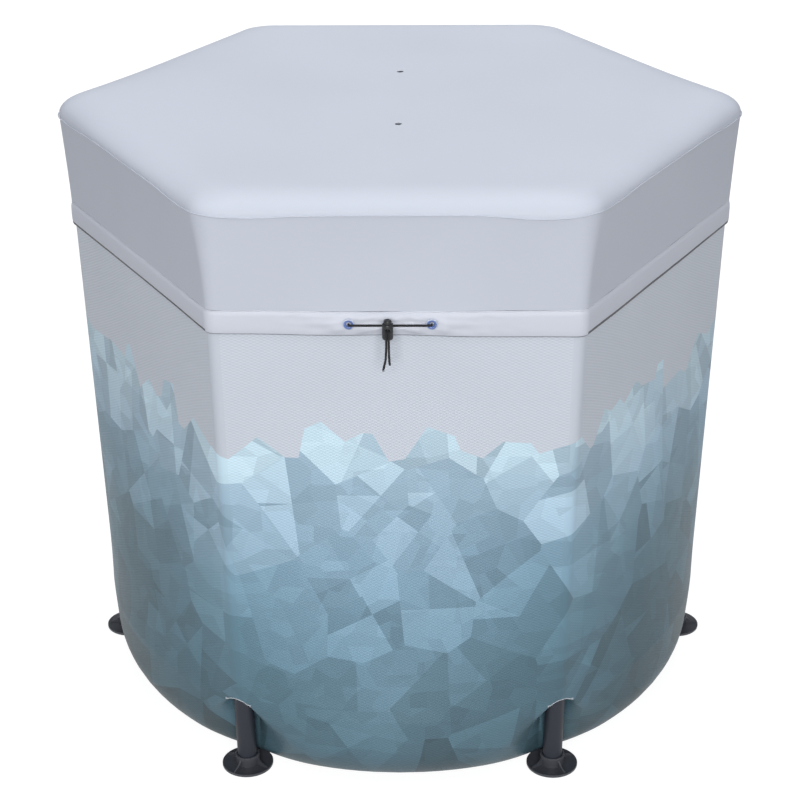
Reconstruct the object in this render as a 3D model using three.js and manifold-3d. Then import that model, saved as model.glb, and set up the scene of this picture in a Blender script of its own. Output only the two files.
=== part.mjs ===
// Soft-sided hexagonal cold plunge tub with a tube frame and a drawcord cover.
// Millimetres, +Z up, origin on the floor at the tub's axis, the cord lock at the front (-Y).
import * as THREE from "three";
import { mergeVertices } from "three/addons/utils/BufferGeometryUtils.js";
import Module from "manifold-3d";

const wasm = await Module();
wasm.setup();

// Clearances and edges
const GAP = 0.3; // between pieces that touch
const PAST = 4; // how far a cutting tool runs past the sheet that it cuts
const EVEN = 1e-6; // lengths closer than this count as equal
const EDGE = 0.9; // chamfer of the moulded edges

// Frame of legs, rails and corner joints
const SIDES = 6;
const LEG_FOOT_RADIUS = 396; // leg axis at the floor, from the tub's axis
const LEG_TOP_RADIUS = 420; // leg axis at rail height
const RAIL_HEIGHT = 774;
const TUBE_RADIUS = 12.5;
const TUBE_WALL = 1.2;
const JOINT_SHOULDER = 3.2; // of the joint's full-width hub, past the side of the next tube
const SPIGOT_LENGTH = 46;
const SPIGOT_PLAY = 0.3;
const LEG_SEAT = 5; // floor of the foot's socket, along the leg

// Foot
const FLANGE_RADIUS = 33;
const FLANGE_THICKNESS = 3.6;
const SOCKET_PLAY = 0.4;
const COLLAR_WALL = 2.6;
const COLLAR_HEIGHT = 17;
const GUSSETS = 4;
const GUSSET_THICKNESS = 2.2;
const GUSSET_DROP = 3; // its top, below the collar's
const GUSSET_SETBACK = 2; // its outer end, from the flange's rim

// Wall and floor sheet
const WALL_THICKNESS = 1.5;
const WALL_PLAY = 0.8; // between a tube and the sheet round it
const BASE_OUT = 7; // widest circle at the middle of a side, outside the circle of the feet
const BASE_ROLL = 57; // radius with which the wall rolls under to the floor
const SLIT_RISE = 46; // where each leg comes out of the wall, above the rolled edge
const SLIT_RAMP = 23; // height over which the wall steps out to cover the leg
const SLIT_ARCH = 12; // of the cut round the leg, above that
const SLIT_PLAY = 0.65; // between a leg and the edge of its slit
const FLAT_HEIGHT = 560; // above this the sides are flat
const FLAT_BULGE = 0.4;
const BULGE_POWER = 1.6;
const BAY_HALF_WIDTH = 30; // hollow in the wall behind a bare leg
const BAY_PLAY = 4;

// Strips welded inside the wall
const STRIP_THICKNESS = 1.2;
const STRIP_GAP = 0.4;
const FLAP_START = 22;
const FLAP_END = 45;
const POCKET_BOTTOM = 9; // above the slit
const POCKET_TOP = 60; // below the rail
const SLEEVE_PLAY = 0.95;
const SLEEVE_MARGIN = 45; // bare rail and joint at each corner
const SLEEVE_DROP = 35;
const SLEEVE_FLAP = 15;

// Drain valve, in the middle of the rear side
const DRAIN_SIDES = 16;
const VALVE_HEIGHT = 112;
const VALVE_BORE = 11;
const STUB_WALL = 4;
const STUB_END = 3; // of the stub, past the nut
const VALVE_RIM = 13; // of the flange, outside the stub
const VALVE_FLANGE = 3;
const VALVE_SPIGOT_WALL = 7;
const VALVE_SPIGOT_LENGTH = 17;
const GASKET_THICKNESS = 1.6;
const NUT_RIM = 10;
const NUT_THICKNESS = 8;
const NUT_GRIPS = 8;
const GRIP_RADIUS = 3.2;
const CAP_WALL = 3.7;
const CAP_LIFT = 1; // between the cap's mouth and the flange
const CAP_END = 3;
const CAP_RIBS = 8;
const CAP_RIB = 2.4;
const CAP_SEAL_THICKNESS = 1.6;

// Cover
const COVER_THICKNESS = 1;
const COVER_REST = 0.4; // between the cover and the rail sleeves
const TOP_ROLL = 20; // breadth of the rolled edge
const TOP_CROWN = 1.5;
const CROWN_EDGE = 150; // where the crown begins to flatten, from the seam
const TOP_HOLE_RADIUS = 4.5;
const TOP_HOLE_OFFSET = 115;
const SEAM_FLARE = 9; // of the seam, outside the wall's rim
const SEAM_DROP = 0.5; // below the rail's axis
const SEAM_CORNER = 45;
const SEAM_RIDGE = 1.3;
const SKIRT_POWER = 2.2;
const HEM_DROP = 153; // lower edge, below the rail's axis
const HEM_HEIGHT = 33;
const HEM_PLAY = 0.8; // between the hem and the rim that it passes
const HEM_FOLD = 1; // chamfer of the folded edge
const HEM_LIP = 5; // height of the edge that leans back to the skirt
const HEM_SLIT = 0.6;

// Drawcord, eyelets and cord lock
const CORD_RADIUS = 1.25;
const CORD_BEND = 5;
const CORD_STEPS = 20;
const CORD_SPLIT = 0.2; // half of the space between the two ends in the lock
const CHANNEL_PLAY = 1.1;
const HEM_CORD_START = 6; // of the run in the hem, past the eyelet's axis
const EYELET_LEFT = -55;
const EYELET_RIGHT = 41;
const EYELET_RISE = 19; // above the hem's lower edge
const EYELET_PLAY = 1.45;
const EYELET_WALL = 1.2;
const EYELET_RIM = 3.1;
const EYELET_LIP = 1.5;
const LOCK_X = -9.7;
const LOCK_WALL = 1.4;
const LOCK_SIDE = 1.5; // of the button, beside the hole
const LOCK_PLAY = 1;
const LOCK_BELOW = 11.5; // below the cord
const LOCK_ABOVE = 8;
const LOCK_FLOOR = 1.7;
const LOCK_ROUND = 1.6;
const BUTTON_RISE = 4.5;
const BUTTON_TRAVEL = 2.5;
const BUTTON_EDGE = 1;
const BUTTON_FOOT = 1.2; // below the hole
const TAIL_BEND = 6; // where a tail starts to sway, below the lock
const TAIL_LEFT = 35.5; // end, below the lock
const TAIL_RIGHT = 28.5;
const SWAY_LEFT = -4;
const SWAY_RIGHT = 1;
const SPRING_TURNS = 3;
const SPRING_WIRE = 0.3;

const sector = (2 * Math.PI) / SIDES;
const half = sector / 2;
const lean = Math.atan2(LEG_TOP_RADIUS - LEG_FOOT_RADIUS, RAIL_HEIGHT);
const legLength = RAIL_HEIGHT / Math.cos(lean);
const railApothem = LEG_TOP_RADIUS * Math.cos(half);
const jointCollar = TUBE_RADIUS + JOINT_SHOULDER;
const collarRadius = TUBE_RADIUS + SOCKET_PLAY + COLLAR_WALL;
const gussetHeight = COLLAR_HEIGHT - GUSSET_DROP;
const skinRadius = TUBE_RADIUS + WALL_PLAY + WALL_THICKNESS; // outside of the sheet round a leg
const baseRadius = LEG_FOOT_RADIUS + BASE_OUT;
const slitHeight = BASE_ROLL + SLIT_RISE;
const legRadiusAt = (z) => LEG_FOOT_RADIUS + Math.tan(lean) * z;
const flatApothemAt = (z) => legRadiusAt(z) * Math.cos(half) + skinRadius;
const rimApothem = flatApothemAt(RAIL_HEIGHT);
const seamApothem = rimApothem + SEAM_FLARE;
const seamHeight = RAIL_HEIGHT - SEAM_DROP;
const hemBottom = RAIL_HEIGHT - HEM_DROP;
const widest = Math.max(rimApothem, middleAt(hemBottom)); // of the wall under the cover
const hemApothem = widest + HEM_PLAY; // inside of the hem
const hemCorner = skinRadius + HEM_PLAY;
const hemChannel = 2 * CORD_RADIUS + CHANNEL_PLAY;
const hemFace = hemApothem + 2 * COVER_THICKNESS + hemChannel;
const cordHeight = hemBottom + EYELET_RISE;
const stubRadius = VALVE_BORE + STUB_WALL;

// Materials, by name of slot
const shade = (color, roughness, metalness = 0) =>
  new THREE.MeshStandardMaterial({ color, roughness, metalness });
const slots = {
  tube: shade(0x3d3e46, 0.5),
  fitting: shade(0x4a4b54, 0.55),
  wall: shade(0x8fb0c0, 0.6),
  liner: shade(0xc9d4dc, 0.55),
  cover: shade(0xc6ccd8, 0.45),
  rubber: shade(0x26272b, 0.8),
  eyelet: shade(0x8ea5d8, 0.25),
  cord: shade(0x17181b, 0.9),
  lock: shade(0x1b1c20, 0.4),
  steel: shade(0xb8bcc0, 0.3, 1),
};

const part = new THREE.Group();
const frame = new THREE.Group();
const tub = new THREE.Group();
const drain = new THREE.Group();
const cover = new THREE.Group();
const cordLock = new THREE.Group();
part.add(frame, tub, cover);
tub.add(drain);
cover.add(cordLock);

function add(group, name, geometry, slot, turn = 0) {
  const mesh = new THREE.Mesh(geometry, slots[slot]);
  mesh.name = name;
  mesh.rotation.z = turn;
  group.add(mesh);
}

// One closed skin with shared corners, facing out
function weld(geometry) {
  const bare = new THREE.BufferGeometry();
  bare.setAttribute("position", geometry.getAttribute("position").clone());
  if (geometry.index) bare.setIndex(geometry.index.clone());
  const merged = mergeVertices(bare, 1e-4);
  const p = merged.getAttribute("position");
  const kept = [];
  let volume = 0;
  const [a, b, c] = [0, 1, 2].map(() => new THREE.Vector3());
  for (let i = 0; i < merged.index.count; i += 3) {
    const t = [0, 1, 2].map((k) => merged.index.getX(i + k));
    if (t[0] === t[1] || t[1] === t[2] || t[2] === t[0]) continue;
    a.fromBufferAttribute(p, t[0]);
    b.fromBufferAttribute(p, t[1]);
    c.fromBufferAttribute(p, t[2]);
    volume += a.dot(b.cross(c));
    kept.push(t);
  }
  if (volume < 0) kept.forEach((t) => t.reverse());
  merged.setIndex(kept.flat());
  merged.computeVertexNormals();
  return merged;
}

function solid(geometry) {
  const g = weld(geometry);
  return new wasm.Manifold(
    new wasm.Mesh({
      numProp: 3,
      vertProperties: new Float32Array(g.getAttribute("position").array),
      triVerts: new Uint32Array(g.index.array),
    }),
  );
}

function geometryOf(manifold) {
  const m = manifold.getMesh();
  const g = new THREE.BufferGeometry();
  g.setAttribute("position", new THREE.BufferAttribute(m.vertProperties, 3));
  g.setIndex(new THREE.BufferAttribute(m.triVerts, 1));
  g.computeVertexNormals();
  return g;
}

const join = (...pieces) => pieces.map(solid).reduce((a, b) => a.add(b));
const cut = (body, ...tools) => tools.map(solid).reduce((a, b) => a.subtract(b), body);

// Revolve of [radius, height] points about Z
function revolve(profile, segments) {
  const g = new THREE.LatheGeometry(
    profile.map(([r, z]) => new THREE.Vector2(r, z)),
    segments,
  );
  return weld(g.rotateX(Math.PI / 2));
}

const disc = (radius, from, to, segments) =>
  revolve([[0, from], [radius, from], [radius, to], [0, to]], segments);

const tube = (outer, inner, from, to, segments) =>
  revolve([[inner, from], [outer, from], [outer, to], [inner, to], [inner, from]], segments);

// Skin through rings of equally many points; the last ring closes on the first, or each end on a point
function loft(rings, closed) {
  const n = Math.max(...rings.map((r) => r.length));
  const points = rings.flat();
  const g = new THREE.BufferGeometry().setFromPoints(points);
  const start = rings.map((_, i) => rings.slice(0, i).flat().length);
  const at = (i, j) => start[i] + (rings[i].length === 1 ? 0 : j % n);
  const index = [];
  const rows = closed ? rings.length : rings.length - 1;
  for (let i = 0; i < rows; i++) {
    const k = (i + 1) % rings.length;
    for (let j = 0; j < n; j++) {
      const [a, b, c, d] = [at(i, j), at(i, j + 1), at(k, j + 1), at(k, j)];
      // the shorter diagonal, so that both skins of a sheet are split alike
      const along = points[b].distanceTo(points[d]) - points[a].distanceTo(points[c]);
      index.push(...(along > -EVEN ? [a, b, c, a, c, d] : [a, b, d, b, c, d]));
    }
  }
  g.setIndex(index);
  return weld(g);
}

// Hexagon with rounded corners, flat sides at the apothem
function hexagon(apothem, corner, z, perCorner = 4) {
  const centre = (apothem - corner) / Math.cos(half);
  const ring = [];
  for (let k = 0; k < SIDES; k++) {
    for (let i = 0; i < perCorner; i++) {
      const a = k * sector + half * ((2 * i) / (perCorner - 1) - 1);
      ring.push(
        new THREE.Vector3(
          centre * Math.cos(k * sector) + corner * Math.cos(a),
          centre * Math.sin(k * sector) + corner * Math.sin(a),
          z,
        ),
      );
    }
  }
  return ring;
}

// Strip of even thickness along a path of [x, y] points, as a shape
function ribbon(path, thickness) {
  const points = path.map(([x, y]) => new THREE.Vector2(x, y));
  const edge = (i, sign) => {
    const before = points[i].clone().sub(points[Math.max(i - 1, 0)]);
    const after = points[Math.min(i + 1, points.length - 1)].clone().sub(points[i]);
    const dirs = [before, after].filter((d) => d.length() > 0).map((d) => d.normalize());
    const normals = dirs.map((d) => new THREE.Vector2(-d.y, d.x));
    const sum = normals.reduce((s, v) => s.add(v.clone()), new THREE.Vector2()).normalize();
    const reach = (sign * thickness) / 2 / sum.dot(normals[0]);
    return points[i].clone().addScaledVector(sum, reach);
  };
  const left = points.map((_, i) => edge(i, 1));
  const right = points.map((_, i) => edge(i, -1)).reverse();
  return new THREE.Shape([...left, ...right]);
}

function extrude(shape, depth, from = 0) {
  const g = new THREE.ExtrudeGeometry(shape, { depth, bevelEnabled: false });
  return weld(g.translate(0, 0, from));
}

const arc = (radius, from, to, steps) =>
  Array.from({ length: steps + 1 }, (_, i) => {
    const a = from + ((to - from) * i) / steps;
    return [radius * Math.cos(a), radius * Math.sin(a)];
  });

// Angle of the point where a line from [x, y] touches a circle about the origin, past it by sign
const touch = ([x, y], radius, sign) =>
  Math.atan2(y, x) + sign * Math.acos(radius / Math.hypot(x, y));

// From the frame of a leg, with Z along it and its foot at the origin, to the tub's frame
const alongLeg = (g) => g.rotateY(lean).translate(LEG_FOOT_RADIUS, 0, 0);
// From the frame of a rail, with Z along it and Y up, to the tub's frame, at the side facing +X
const alongRail = (g) => g.rotateX(Math.PI / 2).translate(railApothem, 0, RAIL_HEIGHT);

// Foot: flat flange, collar round the leg, gussets between them
function foot() {
  const sunk = LEG_SEAT / 2; // collar and gussets start inside the flange
  const flange = revolve(
    [
      [0, 0],
      [FLANGE_RADIUS, 0],
      [FLANGE_RADIUS, FLANGE_THICKNESS - EDGE],
      [FLANGE_RADIUS - EDGE, FLANGE_THICKNESS],
      [0, FLANGE_THICKNESS],
    ],
    18,
  ).translate(LEG_FOOT_RADIUS, 0, 0);
  const collar = alongLeg(
    revolve(
      [
        [0, sunk],
        [collarRadius, sunk],
        [collarRadius, COLLAR_HEIGHT - EDGE],
        [collarRadius - EDGE, COLLAR_HEIGHT],
        [0, COLLAR_HEIGHT],
      ],
      12,
    ),
  );
  const webFrom = collarRadius - COLLAR_WALL / 2;
  const webTo = FLANGE_RADIUS - GUSSET_SETBACK;
  const web = new THREE.Shape(
    [
      [webFrom, sunk],
      [webTo, sunk],
      [webTo, FLANGE_THICKNESS + EDGE],
      [webFrom, gussetHeight],
    ].map(([x, y]) => new THREE.Vector2(x, y)),
  );
  const gussets = Array.from({ length: GUSSETS }, (_, i) =>
    extrude(web, GUSSET_THICKNESS, -GUSSET_THICKNESS / 2)
      .rotateX(Math.PI / 2)
      .rotateZ((i * 2 * Math.PI) / GUSSETS)
      .translate(LEG_FOOT_RADIUS, 0, 0),
  );
  const socket = disc(TUBE_RADIUS + SOCKET_PLAY, LEG_SEAT, COLLAR_HEIGHT + PAST, 14);
  return geometryOf(cut(join(flange, collar, ...gussets), alongLeg(socket)));
}

// Corner joint: ball hub with three collars flush with the tubes, and spigots that push into them
function cornerJoint() {
  const spigot = tubeBore - SPIGOT_PLAY;
  const arm = () =>
    revolve(
      [
        [0, 0],
        [TUBE_RADIUS, 0],
        [TUBE_RADIUS, jointCollar],
        [spigot, jointCollar],
        [spigot, SPIGOT_LENGTH],
        [0, SPIGOT_LENGTH],
      ],
      8,
    );
  const hub = new THREE.SphereGeometry(TUBE_RADIUS, 8, 6);
  const legArm = arm().rotateX(Math.PI).rotateY(lean);
  const railArms = [1, -1].map((s) =>
    arm()
      .rotateX(-Math.PI / 2)
      .rotateZ(s > 0 ? half : Math.PI - half),
  );
  const body = join(hub, legArm, ...railArms);
  return geometryOf(body).translate(LEG_TOP_RADIUS, 0, RAIL_HEIGHT);
}

const tubeBore = TUBE_RADIUS - TUBE_WALL;
const legTo = legLength - jointCollar - GAP;
const leg = alongLeg(tube(TUBE_RADIUS, tubeBore, LEG_SEAT + GAP, legTo, 14));
const railHalf = LEG_TOP_RADIUS * Math.sin(half) - jointCollar - GAP;
const rail = alongRail(tube(TUBE_RADIUS, tubeBore, -railHalf, railHalf, 14));

// Outline of the wall at a height: rounded over the legs, sides bulged to a middle distance.
// The distance from the axis, at an angle from the nearest leg
function hullRadius(angle, legRadius, round, middle) {
  const mx = Math.cos(half);
  const my = Math.sin(half);
  const rest = middle - round;
  const e = (legRadius ** 2 - rest ** 2) / (2 * (legRadius * mx - rest));
  const sideRadius = middle - e;
  const ux = legRadius - e * mx;
  const uy = -e * my;
  const touchAngle = Math.atan2(uy, ux);
  const tangent = Math.atan2(
    round * Math.sin(touchAngle),
    legRadius + round * Math.cos(touchAngle),
  );
  const onLeg = Math.abs(angle) < tangent;
  const [cx, cy, r] = onLeg ? [legRadius, 0, round] : [e * mx, e * my, sideRadius];
  const along = cx * Math.cos(Math.abs(angle)) + cy * Math.sin(Math.abs(angle));
  return along + Math.sqrt(along ** 2 - cx ** 2 - cy ** 2 + r ** 2);
}

const smooth = (x) => {
  const t = Math.min(Math.max(x, 0), 1);
  return t * t * (3 - 2 * t);
};

// Distance of the middle of a side: full to the slits, then falling to the flat upper part
function middleAt(z) {
  if (z < slitHeight) return baseRadius;
  const fullBulge = baseRadius - flatApothemAt(slitHeight);
  const left = Math.max(1 - (z - slitHeight) / (FLAT_HEIGHT - slitHeight), 0);
  return flatApothemAt(z) + Math.max(fullBulge * left ** BULGE_POWER, FLAT_BULGE);
}

// The wall keeps inside a bare leg, and below inside the foot's collar and gussets
function bayRadius(z) {
  const slope = (z - FLANGE_THICKNESS) / (gussetHeight - FLANGE_THICKNESS);
  const down = Math.min(Math.max(slope, 0), 1);
  const footReach = FLANGE_RADIUS + (collarRadius - FLANGE_RADIUS) * down;
  const reach = z < COLLAR_HEIGHT + BAY_PLAY ? footReach : TUBE_RADIUS;
  return legRadiusAt(z) - reach - BAY_PLAY;
}

// Angles from a leg to the middle of a side, closer together near the leg
const halfAngles = [0, 0.034, 0.072, 0.145, 0.53, 1].map((f) => f * half);
const wallAngles = [...halfAngles.slice(1, -1).map((a) => -a).reverse(), ...halfAngles];

// Inside of the faceted wall, this far to the side of the middle of a side
function insideAt(z, aside) {
  const next = halfAngles[halfAngles.length - 2];
  const middle = middleAt(z) - WALL_THICKNESS;
  const r = hullRadius(next, legRadiusAt(z), skinRadius - WALL_THICKNESS, middle);
  const slope = (middle - r * Math.cos(half - next)) / (r * Math.sin(half - next));
  return middle - slope * aside;
}

function wallRing(z, inset, roll = 0) {
  const ring = [];
  const mix = smooth(z / slitHeight);
  const radius = (a) => {
    const hull = hullRadius(a, legRadiusAt(z), skinRadius - inset, middleAt(z) - inset);
    return (baseRadius - inset) * (1 - mix) + hull * mix - roll;
  };
  const bare = z < slitHeight - GAP;
  const hollow = bare ? Math.max(radius(0) - bayRadius(z) + inset, 0) : 0;
  for (let k = 0; k < SIDES; k++) {
    for (const a of wallAngles) {
      const d = Math.min(Math.abs(a) * baseRadius, BAY_HALF_WIDTH);
      const dip = hollow * 0.5 * (1 + Math.cos((Math.PI * d) / BAY_HALF_WIDTH));
      const r = radius(a) - dip;
      const t = a + k * sector;
      ring.push(new THREE.Vector3(r * Math.cos(t), r * Math.sin(t), z));
    }
  }
  return ring;
}

// Wall: a sheet from the floor, rolled up to the widest circle, over the legs, to the rim
function wall() {
  const rollAngles = [-90, -62, -35, 0].map(THREE.MathUtils.degToRad);
  const heights = [
    slitHeight - SLIT_RAMP,
    slitHeight,
    ...[0.35, 0.65, 1].map((f) => slitHeight + f * (FLAT_HEIGHT - slitHeight)),
    RAIL_HEIGHT,
  ];
  const side = (inset) => {
    const r = BASE_ROLL - inset;
    const rolled = rollAngles.map((a) => {
      const z = BASE_ROLL + r * Math.sin(a);
      return wallRing(z, inset, r * (1 - Math.cos(a)));
    });
    return [...rolled, ...heights.map((z) => wallRing(z, inset))];
  };
  const sheet = solid(loft([...side(0), ...side(WALL_THICKNESS).reverse()], true));
  const slitRadius = TUBE_RADIUS + SLIT_PLAY;
  const slitSides = 12; // with a flat side outwards
  const slits = Array.from({ length: SIDES }, (_, k) =>
    alongLeg(
      disc(slitRadius, LEG_SEAT, slitHeight + SLIT_ARCH, slitSides).rotateZ(Math.PI / slitSides),
    ).rotateZ(k * sector),
  );
  const drainHole = disc(stubRadius + GAP, baseRadius / 2, baseRadius + PAST, 16)
    .rotateX(-Math.PI / 2)
    .translate(0, 0, VALVE_HEIGHT);
  return geometryOf(cut(sheet, ...slits, drainHole));
}

// Strip that closes the leg's pocket on the water side
function pocket() {
  const off = TUBE_RADIUS + WALL_PLAY - STRIP_GAP - STRIP_THICKNESS / 2;
  const onSide = (s) => [
    off * Math.cos(half) - s * Math.sin(half),
    off * Math.sin(half) + s * Math.cos(half),
  ];
  const bend = TUBE_RADIUS + WALL_PLAY + STRIP_THICKNESS / 2;
  const from = touch(onSide(FLAP_START), bend, 1);
  const upper = [onSide(FLAP_END), onSide(FLAP_START)];
  const lower = upper.map(([x, y]) => [x, -y]).reverse();
  const path = [...upper, ...arc(bend, from, 2 * Math.PI - from, 5), ...lower];
  const bottom = slitHeight + POCKET_BOTTOM;
  const length = RAIL_HEIGHT - POCKET_TOP - bottom;
  return alongLeg(extrude(ribbon(path, STRIP_THICKNESS), length, bottom));
}

// Sleeve that carries the rail: over the rail from the wall's upper edge and back to its inside
function sleeve() {
  const bend = TUBE_RADIUS + SLEEVE_PLAY + STRIP_THICKNESS / 2;
  const behind = WALL_THICKNESS + STRIP_GAP + STRIP_THICKNESS / 2;
  const inside = (z) => flatApothemAt(RAIL_HEIGHT + z) - behind - railApothem;
  const knee = [inside(-SLEEVE_DROP), -SLEEVE_DROP];
  const end = [inside(-SLEEVE_DROP - SLEEVE_FLAP), -SLEEVE_DROP - SLEEVE_FLAP];
  const stop = touch(knee, bend, -1) + 2 * Math.PI;
  const path = [...arc(bend, GAP / bend, stop, 9), knee, end];
  const length = 2 * (LEG_TOP_RADIUS * Math.sin(half) - SLEEVE_MARGIN);
  return alongRail(extrude(ribbon(path, STRIP_THICKNESS), length, -length / 2));
}

const footShape = foot();
const jointShape = cornerJoint();
const pocketShape = pocket();
const sleeveShape = sleeve();
for (let k = 0; k < SIDES; k++) {
  const turn = k * sector;
  add(frame, `leg_${k + 1}`, leg, "tube", turn);
  add(frame, `foot_${k + 1}`, footShape, "fitting", turn);
  add(frame, `corner_joint_${k + 1}`, jointShape, "fitting", turn);
  add(frame, `rail_${k + 1}`, rail, "tube", turn + half);
  add(tub, `leg_pocket_${k + 1}`, pocketShape, "liner", turn);
  add(tub, `rail_sleeve_${k + 1}`, sleeveShape, "liner", turn + half);
}
add(tub, "wall", wall(), "wall");
const floorRing = (z) =>
  wallRing(0, 0, BASE_ROLL).map((p) => p.setLength(p.length() - GAP).setZ(z));
const floorCentre = (z) => [new THREE.Vector3(0, 0, z)];
add(
  tub,
  "floor",
  loft(
    [floorCentre(0), floorRing(0), floorRing(WALL_THICKNESS), floorCentre(WALL_THICKNESS)],
    false,
  ),
  "liner",
);

// Drain valve: Z outwards from the tub's axis, turned to the middle of the rear side
drain.rotation.x = -Math.PI / 2;
drain.position.z = VALVE_HEIGHT;
const gasketFrom = baseRadius + GAP;
const flangeFrom = gasketFrom + GASKET_THICKNESS + GAP;
const flangeTo = flangeFrom + VALVE_FLANGE;
const flangeRadius = stubRadius + VALVE_RIM;
const spigotRadius = VALVE_BORE + VALVE_SPIGOT_WALL;
const spigotTo = flangeTo + VALVE_SPIGOT_LENGTH;
const nutRadius = stubRadius + NUT_RIM;
const nutTo = insideAt(VALVE_HEIGHT + nutRadius, nutRadius) - 2 * GAP;
const nutFrom = nutTo - NUT_THICKNESS;
const stubFrom = nutFrom - STUB_END;
const valve = revolve(
  [
    [VALVE_BORE, stubFrom],
    [stubRadius, stubFrom],
    [stubRadius, flangeFrom],
    [flangeRadius, flangeFrom],
    [flangeRadius, flangeTo - EDGE],
    [flangeRadius - EDGE, flangeTo],
    [spigotRadius, flangeTo],
    [spigotRadius, spigotTo],
    [VALVE_BORE, spigotTo],
    [VALVE_BORE, stubFrom],
  ],
  DRAIN_SIDES,
);
add(drain, "drain_valve", valve, "fitting");
const gasket = tube(flangeRadius - EDGE, stubRadius + GAP, gasketFrom, flangeFrom - GAP, DRAIN_SIDES);
add(drain, "drain_gasket", gasket, "rubber");
const nutGrips = Array.from({ length: NUT_GRIPS }, (_, i) =>
  disc(GRIP_RADIUS, nutFrom - PAST, nutTo + PAST, 6)
    .translate(nutRadius + GRIP_RADIUS / 3, 0, 0)
    .rotateZ((i * 2 * Math.PI) / NUT_GRIPS),
);
const nut = cut(solid(tube(nutRadius, stubRadius + GAP, nutFrom, nutTo, DRAIN_SIDES)), ...nutGrips);
add(drain, "drain_nut", geometryOf(nut), "fitting");
const capFrom = flangeTo + CAP_LIFT;
const capBore = (spigotRadius + GAP) / Math.cos(Math.PI / DRAIN_SIDES); // its flats clear the spigot
const capRadius = capBore + CAP_WALL;
const sealTo = spigotTo + GAP + CAP_SEAL_THICKNESS;
const capTo = sealTo + GAP + CAP_END;
const capShell = revolve(
  [
    [capBore, capFrom],
    [capRadius, capFrom],
    [capRadius, capTo - 2 * EDGE],
    [capRadius - 2 * EDGE, capTo],
    [0, capTo],
    [0, sealTo + GAP],
    [capBore, sealTo + GAP],
    [capBore, capFrom],
  ],
  DRAIN_SIDES,
);
const capRibs = Array.from({ length: CAP_RIBS }, (_, i) =>
  new THREE.BoxGeometry(CAP_RIB, CAP_RIB, capTo - capFrom - 4 * EDGE)
    .rotateZ(Math.PI / 4)
    .translate(capRadius, 0, (capFrom + capTo) / 2 - EDGE)
    .rotateZ(((i + 0.5) * 2 * Math.PI) / CAP_RIBS),
);
add(drain, "drain_cap", geometryOf(join(capShell, ...capRibs)), "fitting");
add(drain, "drain_cap_seal", disc(spigotRadius - GAP, spigotTo + GAP, sealTo, DRAIN_SIDES), "rubber");

// Cover top: flat over the rails, rolled over the edge down to the seam
const sleeveTop = RAIL_HEIGHT + TUBE_RADIUS + SLEEVE_PLAY + STRIP_THICKNESS;
const coverTop = sleeveTop + COVER_REST + COVER_THICKNESS;
function topPanel() {
  const edgeFrom = seamHeight + GAP;
  const skin = (inset) => {
    const rings = [0, 22, 50, 90].map(THREE.MathUtils.degToRad).map((a) => {
      const d = (TOP_ROLL - inset) * (1 - Math.cos(a)) + inset;
      const z = edgeFrom + (coverTop - edgeFrom - inset) * Math.sin(a);
      return hexagon(seamApothem - d, SEAM_CORNER - inset, z);
    });
    const crownZ = coverTop + 0.7 * TOP_CROWN - inset;
    rings.push(hexagon(seamApothem - CROWN_EDGE, SEAM_CORNER, crownZ));
    return [...rings, [new THREE.Vector3(0, 0, coverTop + TOP_CROWN - inset)]];
  };
  const panel = solid(loft([...skin(0).reverse(), ...skin(COVER_THICKNESS)], false));
  const holes = [1, -1].map((s) =>
    disc(TOP_HOLE_RADIUS, coverTop - PAST, coverTop + PAST, 16).translate(0, s * TOP_HOLE_OFFSET, 0),
  );
  return geometryOf(cut(panel, ...holes));
}
add(cover, "cover_top", topPanel(), "cover");

// Skirt: drawn in from the seam to the hem
const hemTop = hemBottom + HEM_HEIGHT;
function skirt() {
  const low = hemApothem + COVER_THICKNESS;
  const lowCorner = hemCorner + COVER_THICKNESS;
  const side = (inset) =>
    [0, 0.3, 0.6, 0.85, 1].map((f) => {
      const flare = f ** SKIRT_POWER;
      const z = hemTop + GAP + f * (seamHeight - hemTop - GAP);
      const apothem = low + ((f + flare) / 2) * (seamApothem - low) - inset;
      return hexagon(apothem, lowCorner + flare * (SEAM_CORNER - lowCorner) - inset, z);
    });
  return loft([...side(0), ...side(COVER_THICKNESS).reverse()], true);
}
add(cover, "cover_skirt", skirt(), "cover");

// Ridge of the weld where the top meets the skirt
const ridge = arc(SEAM_RIDGE, 0, 2 * Math.PI, 5)
  .slice(1)
  .map(([u, v]) => {
    const out = GAP + SEAM_RIDGE + u;
    return hexagon(seamApothem + out, SEAM_CORNER + out, seamHeight + v);
  });
add(cover, "cover_seam", loft(ridge, true), "cover");

// Hem: the skirt's edge folded up outside into a channel for the cord, open by a slit at its top
function hem() {
  const t = COVER_THICKNESS;
  const w = hemFace - hemApothem;
  const h = HEM_HEIGHT;
  const leaf = t + HEM_SLIT;
  const profile = [
    [0, h],
    [0, HEM_FOLD],
    [HEM_FOLD, 0],
    [w - HEM_FOLD, 0],
    [w, HEM_FOLD],
    [w, h - HEM_LIP],
    [leaf, h],
    [leaf, h - 1.3 * t],
    [w - t, h - HEM_LIP - t / 2],
    [w - t, t],
    [t, t],
    [t, h],
  ];
  const rings = profile.map(([u, z]) => hexagon(hemApothem + u, hemCorner + u, hemBottom + z));
  const holeRadius = EYELET_PLAY + CORD_RADIUS + EYELET_WALL + GAP;
  const holes = [EYELET_LEFT, EYELET_RIGHT].map((x) =>
    disc(holeRadius, hemFace - t - hemChannel / 2, hemFace + PAST, 12)
      .rotateX(Math.PI / 2)
      .translate(x, 0, cordHeight),
  );
  return geometryOf(cut(solid(loft(rings, true)), ...holes));
}
add(cover, "cover_hem", hem(), "cover");

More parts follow.
